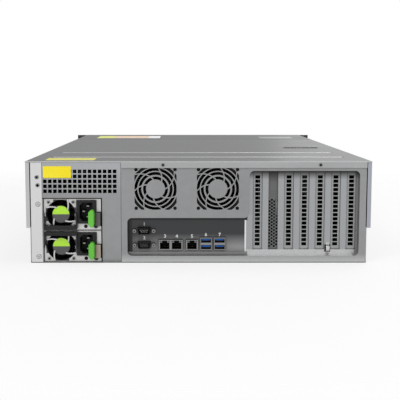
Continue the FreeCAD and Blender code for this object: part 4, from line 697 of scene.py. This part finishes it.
# round boss from z = 0, its rim softened
def boss(bm, radius, tall, sides=32, rim=0.0):
    made = bmesh.ops.create_cone(bm, cap_ends=True, segments=sides, radius1=radius * mm,
                                 radius2=radius * mm, depth=tall * mm)["verts"]
    bmesh.ops.translate(bm, vec=(0, 0, tall * mm / 2), verts=made)
    if rim:
        rimBevel(bm, rim, 3)


# boss with a hole sunk in its top: six sides make a jack post, many a bush or hollow rivet
def bush(bm, radius, tall, hole, depth, sides=32, rim=0.0):
    boss(bm, radius, tall, sides, rim)
    bm.normal_update()
    top = [face for face in bm.faces
           if face.normal.z > 0.9 and face.calc_center_median().length < tall * mm * 1.01]
    top = [max(top, key=lambda face: face.calc_area())]
    bmesh.ops.inset_region(bm, faces=top, thickness=(radius - rim - hole) * mm)
    sunk = bmesh.ops.extrude_face_region(bm, geom=top)["geom"]
    bmesh.ops.translate(bm, vec=(0, 0, -depth * mm), verts=vertsOf(sunk))
    bmesh.ops.delete(bm, geom=top, context="FACES_ONLY")


# domed lens: a sphere cut at its middle and pressed flat
def dome(bm, radius, tall):
    bmesh.ops.create_uvsphere(bm, u_segments=20, v_segments=10, radius=radius * mm)
    bmesh.ops.bisect_plane(bm, geom=bm.verts[:] + bm.edges[:] + bm.faces[:], plane_co=(0, 0, 0),
                           plane_no=(0, 0, 1), clear_inner=True)
    bmesh.ops.scale(bm, vec=(1, 1, tall / radius), verts=bm.verts[:])


# pan head with a cross recess: a grid bridged to a ring, the ring drawn down, the cross pushed in
def panHead(bm, radius, tall):
    half = radius * 0.5 * mm
    bmesh.ops.create_grid(bm, x_segments=3, y_segments=3, size=half)
    cross = [face for face in bm.faces
             if min(abs(face.calc_center_median().x), abs(face.calc_center_median().y)) < half / 4]
    rim = [edge for edge in bm.edges if edge.is_boundary]
    ring = bmesh.ops.create_circle(bm, cap_ends=False, segments=24, radius=radius * 0.74 * mm)["verts"]
    ringEdges = list({edge for vert in ring for edge in vert.link_edges})
    bmesh.ops.bridge_loops(bm, edges=rim + ringEdges)
    for scale, drop in ((1.2, 0.12), (1.1, 0.24), (1.02, 0.64)):
        drawn = bmesh.ops.extrude_edge_only(bm, edges=ringEdges)["geom"]
        verts = vertsOf(drawn)
        ringEdges = [item for item in drawn if isinstance(item, bmesh.types.BMEdge)]
        bmesh.ops.scale(bm, vec=(scale, scale, 1), verts=verts)
        bmesh.ops.translate(bm, vec=(0, 0, -drop * tall * mm), verts=verts)
    down = vertsOf(bmesh.ops.extrude_face_region(bm, geom=cross)["geom"])
    bmesh.ops.translate(bm, vec=(0, 0, -0.55 * tall * mm), verts=down)
    bmesh.ops.scale(bm, vec=(0.8, 0.8, 1), verts=down)
    bmesh.ops.delete(bm, geom=cross, context="FACES_ONLY")
    bmesh.ops.translate(bm, vec=(0, 0, tall * mm), verts=bm.verts[:])


def flatFace(bm, corners):
    return bm.faces.new([bm.verts.new((x * mm, y * mm, 0)) for x, y in corners])


# four-sided prism with one long side, as the mouth of a D-shaped socket
def deePlate(bm, wide, tall, slant, thick):
    halfX, halfY = wide / 2, tall / 2
    foot = halfX - slant
    face = flatFace(bm, ((-foot, -halfY), (foot, -halfY), (halfX, halfY), (-halfX, halfY)))
    roundOff(bm, list(face.verts), 1.2, 3, "VERTICES")
    drawn = bmesh.ops.extrude_face_region(bm, geom=bm.faces[:])["geom"]
    bmesh.ops.translate(bm, vec=(0, 0, thick * mm), verts=vertsOf(drawn))


# arched strap: a small rectangle spun round
def arch(bm, radius, thick, wide, turn=180, steps=14):
    low, high, half = radius - thick, radius, wide / 2
    face = flatFace(bm, ((low, -half), (high, -half), (high, half), (low, half)))
    bmesh.ops.spin(bm, geom=[face, *face.edges, *face.verts], cent=(0, 0, 0), axis=(0, 1, 0),
                   angle=-math.radians(turn), steps=steps, use_merge=turn == 360)
    bmesh.ops.remove_doubles(bm, verts=bm.verts[:], dist=1e-7)


# plain digits, flat, centred, facing +Z, as a mesh
def digits(bm, text, tall, thick=0.06, bold=0.0):
    capShare = 0.7     # height of a digit in the size of the type
    curve = bpy.data.curves.new("digits", "FONT")
    curve.body = text
    curve.size = tall * mm / capShare
    curve.extrude = thick * mm / 2
    curve.offset = bold * mm
    curve.align_x = "CENTER"
    curve.align_y = "CENTER"
    holder = bpy.data.objects.new("digits", curve)
    scene.collection.objects.link(holder)
    bpy.context.view_layer.update()
    mesh = bpy.data.meshes.new_from_object(holder.evaluated_get(bpy.context.evaluated_depsgraph_get()))
    bm.from_mesh(mesh)
    bmesh.ops.remove_doubles(bm, verts=bm.verts[:], dist=1e-7)
    bpy.data.objects.remove(holder)
    bpy.data.curves.remove(curve)
    bpy.data.meshes.remove(mesh)


print("helpers ready")

# screws and rivets of the rear, seen in the photograph
rearFasteners = {
    "cover": ((-45.6, 127.5), (156.2, 127.5)), "coverFace": -1.5, "coverScrew": (1.9, 0.9),
    "column": ((-207.6, 111.7), (-206.7, 101.3)), "columnScrew": (2.9, 1.0),
    "rivets": ((-206.7, 76.7), (-206.5, 8.5)), "washer": (3.3, 0.15), "rivet": (2.7, 0.7, 1.3, 0.5),
}


def makeRearFasteners():
    look = rearFasteners
    bm = bmesh.new()
    for x, z in look["cover"]:
        stamp(bm, panHead, spot("rear", x, look["coverFace"], z, 20), *look["coverScrew"])
    finishPiece("coverScrews", bm, ["screwDark"], "top_cover")
    bm = bmesh.new()
    for index, (x, z) in enumerate(look["column"]):
        stamp(bm, panHead, spot("rear", x, 0, z, 15 + 30 * index), *look["columnScrew"])
    for x, z in look["rivets"]:
        stamp(bm, boss, spot("rear", x, 0, z), *look["washer"], sides=40)
        stamp(bm, bush, spot("rear", x, 0, z), *look["rivet"], rim=0.3, finish=1)
    finishPiece("columnFasteners", bm, ["tinShell", "nickelPlate"], "chassis")


# label over the corner of the square grille, left bare
grilleLabel = {"size": (36.0, 15.1, 0.14), "centre": (-181.5, 118.25), "corner": 0.7}


def makeGrilleLabel():
    x, z = grilleLabel["centre"]
    bm = bmesh.new()
    stamp(bm, plate, spot("rear", x, 0, z), *grilleLabel["size"], corner=grilleLabel["corner"])
    finishPiece("grilleLabel", bm, ["paperYellow"], "chassis")


# lower half grey, upper half lime
def hubDisc(bm, radius, thick):
    boss(bm, radius, thick, sides=64)
    bmesh.ops.bisect_plane(bm, geom=bm.verts[:] + bm.edges[:] + bm.faces[:], plane_co=(0, 0, 0),
                           plane_no=(0, 1, 0))
    for face in bm.faces:
        face.material_index = 1 if face.calc_center_median().y < 0 else 0


def makeSupplyFace(name, low):
    look = supplyFace
    front = look["face"]
    fanX, fanZ = look["fan"][0], low + look["fan"][1]
    bm = bmesh.new()
    stamp(bm, hubDisc, spot("rear", fanX, front, fanZ), *look["hub"])
    finishPiece(f"{name}_hubLabel", bm, ["labelLime", "labelGrey"], name)
    bm = bmesh.new()
    offset = Matrix.Translation(Vector(look["armPlace"]) * mm)
    for index in range(look["arms"]):
        matrix = spot("rear", fanX, front, fanZ, 90 * index) @ offset
        matrix = matrix @ turned(look["armLean"], "Z") @ turned(90, "X")
        stamp(bm, arch, matrix, *look["arm"], turn=look["armTurn"])
    finishPiece(f"{name}_guardWires", bm, ["nickelPlate"], name)
    bm = bmesh.new()
    gripZ = fanZ - (look["sleeveDrop"] if name == "psu_upper" else -look["sleeveDrop"])
    half = look["sleeve"][2] / 2
    place = spot("rear", look["sleeveX"], look["pivot"] + half, gripZ)
    stamp(bm, plate, place, *look["sleeve"], corner=1.2, rim=0.5)
    for index in range(look["ribs"]):
        x = look["sleeveX"] + (index - look["ribs"] // 2) * look["ribStep"]
        stamp(bm, plate, spot("rear", x, look["pivot"] - half, gripZ), *look["rib"], corner=0.5, rim=0.1)
    finishPiece(f"{name}_gripSleeve", bm, ["gripSleeve"], f"{name}_handle")
    bm = bmesh.new()
    for index, (x, z) in enumerate(((-1, -1), (1, -1), (1, 1), (-1, 1))):
        place = (fanX + x * look["corner"], front, fanZ + z * look["corner"])
        stamp(bm, panHead, spot("rear", *place, 37 * index), *look["screw"])
    x, z = look["side"]
    stamp(bm, panHead, spot("rear", x, front, low + z, 25), *look["sideScrew"], finish=1)
    x, z = look["lamp"]
    stamp(bm, dome, spot("rear", x, front + look["lampSunk"], low + z), *look["lampSize"], finish=2)
    finishPiece(f"{name}_faceScrews", bm, ["tinShell", "screwDark", "portBlack"], name)
    bm = bmesh.new()
    x, y, z = look["ridgePlace"]
    for index in range(look["ridges"]):
        place = spot("right", x, y + index * look["ridgeStep"], low + z)
        stamp(bm, plate, place, *look["ridge"], corner=0.35, rim=0.12)
    finishPiece(f"{name}_tabRidges", bm, ["latchMoulding"], f"{name}_release")


def makeDeeInserts():
    look = sockets
    bm = bmesh.new()
    for z, thick in zip(look["deeZ"], look["deeThick"]):
        stamp(bm, deePlate, spot("rear", look["deeX"], look["deeBack"], z), *look["deeInside"], thick)
    upper, lower = look["deeZ"]
    for row in range(2):
        z = upper + look["pinUp"] - look["pinStep"] * row
        for index in range(look["pins"] - row):
            x = look["deeX"] + (index - look["pins"] // 2 + row / 2) * look["pinStep"]
            stamp(bm, boss, spot("rear", x, look["pinBack"], z), *look["pin"], sides=10, rim=0.2, finish=1)
    stepX, stepZ = look["holeStep"]
    for row in range(look["holeRows"]):
        for index in range(look["holes"]):
            x = look["deeX"] + (index - look["holes"] // 2 + (row - 1) / 4) * stepX
            place = spot("rear", x, look["holeFace"], lower + (1 - row) * stepZ)
            stamp(bm, bush, place, *look["hole"], sides=10, finish=2)
    finishPiece("deeInserts", bm, ["portBlack", "nickelPlate", "screwDark"], "chassis")


def makeSockets():
    look = sockets
    makeDeeInserts()
    bm = bmesh.new()
    for z in look["deeZ"]:
        for side in (-1, 1):
            place = spot("rear", look["deeX"] + side * look["posts"], look["shield"], z, 15)
            stamp(bm, bush, place, *look["post"], sides=6, rim=0.3)
    finishPiece("jackPosts", bm, ["tinShell"], "chassis")
    bm = bmesh.new()
    for x in look["network"]:
        for index in range(look["contacts"]):
            contactX = x + (index - (look["contacts"] - 1) / 2) * look["contactStep"]
            matrix = spot("rear", contactX, *look["contactPlace"]) @ turned(look["contactLean"], "X")
            stamp(bm, plate, matrix, *look["contact"], rim=0.08)
        for side, lens in ((-1, 1), (1, 2)):
            place = spot("rear", x + side * look["lampSide"], *look["lampPlace"])
            stamp(bm, plate, place, *look["lamp"], corner=0.25, finish=lens)
    finishPiece("networkContacts", bm, ["goldContact", "lensSmoke", "lensSmoke"], "chassis")
    bm = bmesh.new()
    for x in look["usb"]:
        for z in look["usbZ"]:
            stamp(bm, plate, spot("rear", x, look["usbBack"], z), *look["usbInside"], corner=0.3)
            for index in range(look["leaves"]):
                leafX = x + (index - (look["leaves"] - 1) / 2) * look["leafStep"]
                place = spot("rear", leafX, look["leafFace"], z - look["leafDown"])
                stamp(bm, plate, place, *look["leaf"], finish=1)
    finishPiece("usbInserts", bm, ["portBlack", "goldContact"], "chassis")


# plain numbers printed above the sockets
socketMarks = {"places": ((-70.6, 48.7), (-70.6, 30.4), (-43.6, 32.6), (-28.2, 32.6), (-8.2, 32.6),
                          (9.9, 34.6), (27.8, 34.6)), "face": 12.17, "tall": 4.2, "bold": 0.19}


def makeSocketMarks():
    look = socketMarks
    bm = bmesh.new()
    for number, (x, z) in enumerate(look["places"], 1):
        stamp(bm, digits, spot("rear", x, look["face"], z), str(number), look["tall"], bold=look["bold"])
    finishPiece("socketMarks", bm, ["markInk"], "chassis")


# upright loop for a cable tie, with two feet, in the corner of the slot recess
tieLoop = {"place": (168.7, 11.0, 17.2), "radius": 4.6, "thick": 1.0, "wide": 4.6,
           "foot": (4.6, 3.4, 0.9), "footOut": 1.4}


def makeTieLoop():
    look = tieLoop
    x, y, z = look["place"]
    bm = bmesh.new()
    stamp(bm, arch, spot("rear", x, y, z, 90), look["radius"], look["thick"], look["wide"])
    for side in (-1, 1):
        place = spot("rear", x, y, z + side * (look["radius"] + look["footOut"]))
        stamp(bm, plate, place, *look["foot"], corner=0.8, rim=0.2)
    finishPiece("tieLoop", bm, ["nickelPlate"], "chassis")


# sides: studs for the slide rails, screws of the ears and of the drive cage
sideFixings = {
    "studs": (70, 240, 420, 580), "studZ": 22.9, "recess": 217.0, "shank": (2.6, 2.2), "head": (4.2, 1.3),
    "wall": 222.2, "wallScrew": (2.6, 0.8), "ear": 224.2, "earScrew": (3.1, 1.0),
    "earScrews": ((619, 66), (619, 108), (638, 66), (638, 108)),
    "wallScrews": ((484, 60), (484, 118), (590, 60), (590, 118), (18, 60), (18, 118),
                   (300, 118), (180, 118)),
}


def makeSideFixings():
    look = sideFixings
    bm = bmesh.new()
    for side, sign in (("right", 1), ("left", -1)):
        recessX, wallX, earX = (sign * look[key] for key in ("recess", "wall", "ear"))
        for y in look["studs"]:
            headX = recessX + sign * look["shank"][1]
            stamp(bm, boss, spot(side, recessX, y, look["studZ"]), *look["shank"], sides=24)
            stamp(bm, boss, spot(side, headX, y, look["studZ"]), *look["head"], rim=0.35)
        for index, (y, z) in enumerate(look["wallScrews"]):
            stamp(bm, panHead, spot(side, wallX, y, z, 17 * index), *look["wallScrew"])
        for index, (y, z) in enumerate(look["earScrews"]):
            stamp(bm, panHead, spot(side, earX, y, z, 23 * index), *look["earScrew"], finish=1)
    finishPiece("sideFixings", bm, ["screwSteel", "screwDark"], "chassis")


# front of each drive carrier: two lamps, its number, bars across the lever's openings
carrierFront = {
    "face": 653.0, "lamp": (1.0, 0.5), "lampX": (4.3, 9.7), "lampDown": 4.4,
    "numberX": 7.0, "numberUp": 4.4, "numberTall": 2.8,
    "firstVent": 21.1, "vents": 5, "ventStep": 15.0,
    "barFace": 650.6, "bars": (3.0, 6.0, 9.0), "bar": (1.0, 14.9, 1.2),
}


def makeCarrierFront(index):
    look = carrierFront
    low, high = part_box(f"drive_carrier_{index}")
    left, bottom, top = low.x / mm, low.z / mm, high.z / mm
    bm = bmesh.new()
    for lens, x in enumerate(look["lampX"]):
        place = spot("front", left + x, look["face"], top - look["lampDown"])
        stamp(bm, dome, place, *look["lamp"], finish=lens)
    place = spot("front", left + look["numberX"], look["face"], bottom + look["numberUp"])
    stamp(bm, digits, place, str(index), look["numberTall"], finish=2)
    finishPiece(f"carrierMarks_{index}", bm, ["lensGreen", "lensBlue", "markInk"], f"carrier_{index}")
    bm = bmesh.new()
    for vent in range(look["vents"]):
        for step in look["bars"]:
            x = left + look["firstVent"] + vent * look["ventStep"] + step
            stamp(bm, plate, spot("front", x, look["barFace"], (bottom + top) / 2), *look["bar"], rim=0.2)
    finishPiece(f"carrierBars_{index}", bm, ["leverMoulding"], f"carrier_{index}")


# control panel: three lamps and the ring and bar sign of the power button
controlFront = {
    "lamps": (-236.4, -231.75, -227.1), "lampZ": 105.4, "lamp": (0.8, 0.4), "face": 659.0,
    "button": (-231.75, 120.0), "ring": (2.0, 0.4, 0.12), "ringTurn": 300, "ringStart": -60,
    "bar": (0.42, 1.7, 0.06), "barUp": 1.5,
}


def makeControlFront():
    look = controlFront
    bm = bmesh.new()
    for lens, x in enumerate(look["lamps"]):
        stamp(bm, dome, spot("front", x, look["face"], look["lampZ"]), *look["lamp"], finish=lens)
    finishPiece("controlLamps", bm, ["lensGreen", "lensBlue", "lensAmber"], "chassis")
    bm = bmesh.new()
    x, z = look["button"]
    face = (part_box("power_button")[1].y - rearY) / mm
    ring = spot("front", x, face, z) @ turned(90, "X") @ turned(look["ringStart"], "Y")
    stamp(bm, arch, ring, *look["ring"], turn=look["ringTurn"], steps=40)
    stamp(bm, plate, spot("front", x, face, z + look["barUp"]), *look["bar"])
    finishPiece("powerSign", bm, ["markInk"], "power_key")


makeRearFasteners()
makeGrilleLabel()
for supply, low in supplyFace["lows"].items():
    makeSupplyFace(supply, low)
makeSockets()
makeSocketMarks()
makeTieLoop()
makeSideFixings()
for index in range(1, 17):
    makeCarrierFront(index)
makeControlFront()
print("details made")

# floor, room, lamps and the camera; camera, aim and distance in millimetres
studio = {
    "floor": (0.88, 0.88, 0.88), "floorHalf": 3.0, "fade": (0.5, 1.1), "lift": 0.72,
    "roomEnds": (0.6, 0.4), "roomSteps": ((0.45, 0.75), (0.6, 0.75), (0.8, 0.5)),
    "lens": 70.56, "sensor": 36.0, "distance": 999.6, "camera": (-18.9, 218.0), "aim": -16.7,
    "tilt": 5.988, "shift": (0.036, -0.06),
    "lamps": {"keyBox": ((-0.9, -1.5, 1.9), (0, -0.3, 0.05), 1.2, 17),
              "fillBox": ((1.7, -1.2, 0.9), (0, -0.2, 0.05), 1.2, 6),
              "topBox": ((0.8, 0.2, 2.2), (0.15, 0.0, 0.0), 1.4, 14),
              "frontBox": ((1.2, 2.4, 0.5), (0.1, 0.1, 0.1), 1.6, 16)},
}


# one for what the camera, a reflection or a lens sees of the studio
def seenRays(tree):
    light = addNode(tree, "ShaderNodeLightPath")
    seen = mathOf(tree, "MAXIMUM", light.outputs["Is Camera Ray"], light.outputs["Is Glossy Ray"])
    return mathOf(tree, "MAXIMUM", seen, light.outputs["Is Transmission Ray"])


def mixShaders(tree, share, first, second):
    return addNode(tree, "ShaderNodeMixShader", {"Fac": share, 1: first.outputs[0], 2: second.outputs[0]})


def makeFloor():
    bm = bmesh.new()
    bmesh.ops.create_grid(bm, x_segments=1, y_segments=1, size=studio["floorHalf"])
    mesh = bpy.data.meshes.new("floor")
    bm.to_mesh(mesh)
    bm.free()
    floor = bpy.data.objects.new("floor", mesh)
    scene.collection.objects.link(floor)
    material, tree, shader = newMaterial("paleFloor")
    feed(tree, shader, {"Base Color": rgba(studio["floor"]), "Roughness": 0.8})
    near, far = studio["fade"]
    length = vectorOf(tree, "LENGTH", ownPlace(tree))["Value"]
    fade = addNode(tree, "ShaderNodeMapRange", {"Value": length, "From Min": near, "From Max": far},
                   interpolation_type="SMOOTHSTEP")
    clear = addNode(tree, "ShaderNodeBsdfTransparent")
    pale = addNode(tree, "ShaderNodeEmission")
    lift = product(tree, seenRays(tree), studio["lift"])
    mixed = mixShaders(tree, fade.outputs["Result"], mixShaders(tree, lift, shader, pale), clear)
    feed(tree, tree.nodes["Material Output"], {"Surface": mixed.outputs["Shader"]})
    mesh.materials.append(material)


# white to the camera and in reflections; a room that darkens overhead to everything else
def makeRoom():
    world = bpy.data.worlds.new("softRoom")
    scene.world = world
    world.use_nodes = True
    tree = world.node_tree
    coords = addNode(tree, "ShaderNodeTexCoord")
    parts = addNode(tree, "ShaderNodeSeparateXYZ", {"Vector": coords.outputs["Generated"]})
    height = rangeOf(tree, parts.outputs["Z"], -1.0, 1.0, 0.0, 1.0)
    ramp = addNode(tree, "ShaderNodeValToRGB", {"Fac": height})
    for index, value in enumerate(studio["roomEnds"]):
        ramp.color_ramp.elements[index].color = (value, value, value, 1)
    for place, value in studio["roomSteps"]:
        ramp.color_ramp.elements.new(place).color = (value, value, value, 1)
    seen = blend(tree, seenRays(tree), ramp.outputs["Color"], (1, 1, 1, 1))
    feed(tree, tree.nodes["Background"], {"Color": seen})


def pointAt(thing, place, aim):
    thing.location = place
    thing.rotation_euler = (Vector(aim) - Vector(place)).to_track_quat("-Z", "Y").to_euler()
    scene.collection.objects.link(thing)


def makeStudio():
    makeFloor()
    makeRoom()
    for name, (place, aim, size, watts) in studio["lamps"].items():
        data = bpy.data.lights.new(name, "AREA")
        data.size = size
        data.energy = watts
        pointAt(bpy.data.objects.new(name, data), place, aim)
    data = bpy.data.cameras.new("photoCamera")
    data.lens = studio["lens"]
    data.sensor_width = studio["sensor"]
    data.shift_x, data.shift_y = studio["shift"]
    camera = bpy.data.objects.new("photoCamera", data)
    x, z = studio["camera"]
    drop = studio["distance"] * math.tan(math.radians(studio["tilt"]))
    pointAt(camera, at(x, -studio["distance"], z), at(studio["aim"], 0, z - drop))
    scene.camera = camera
    scene.view_settings.view_transform = "Standard"


makeStudio()
print("studio made")
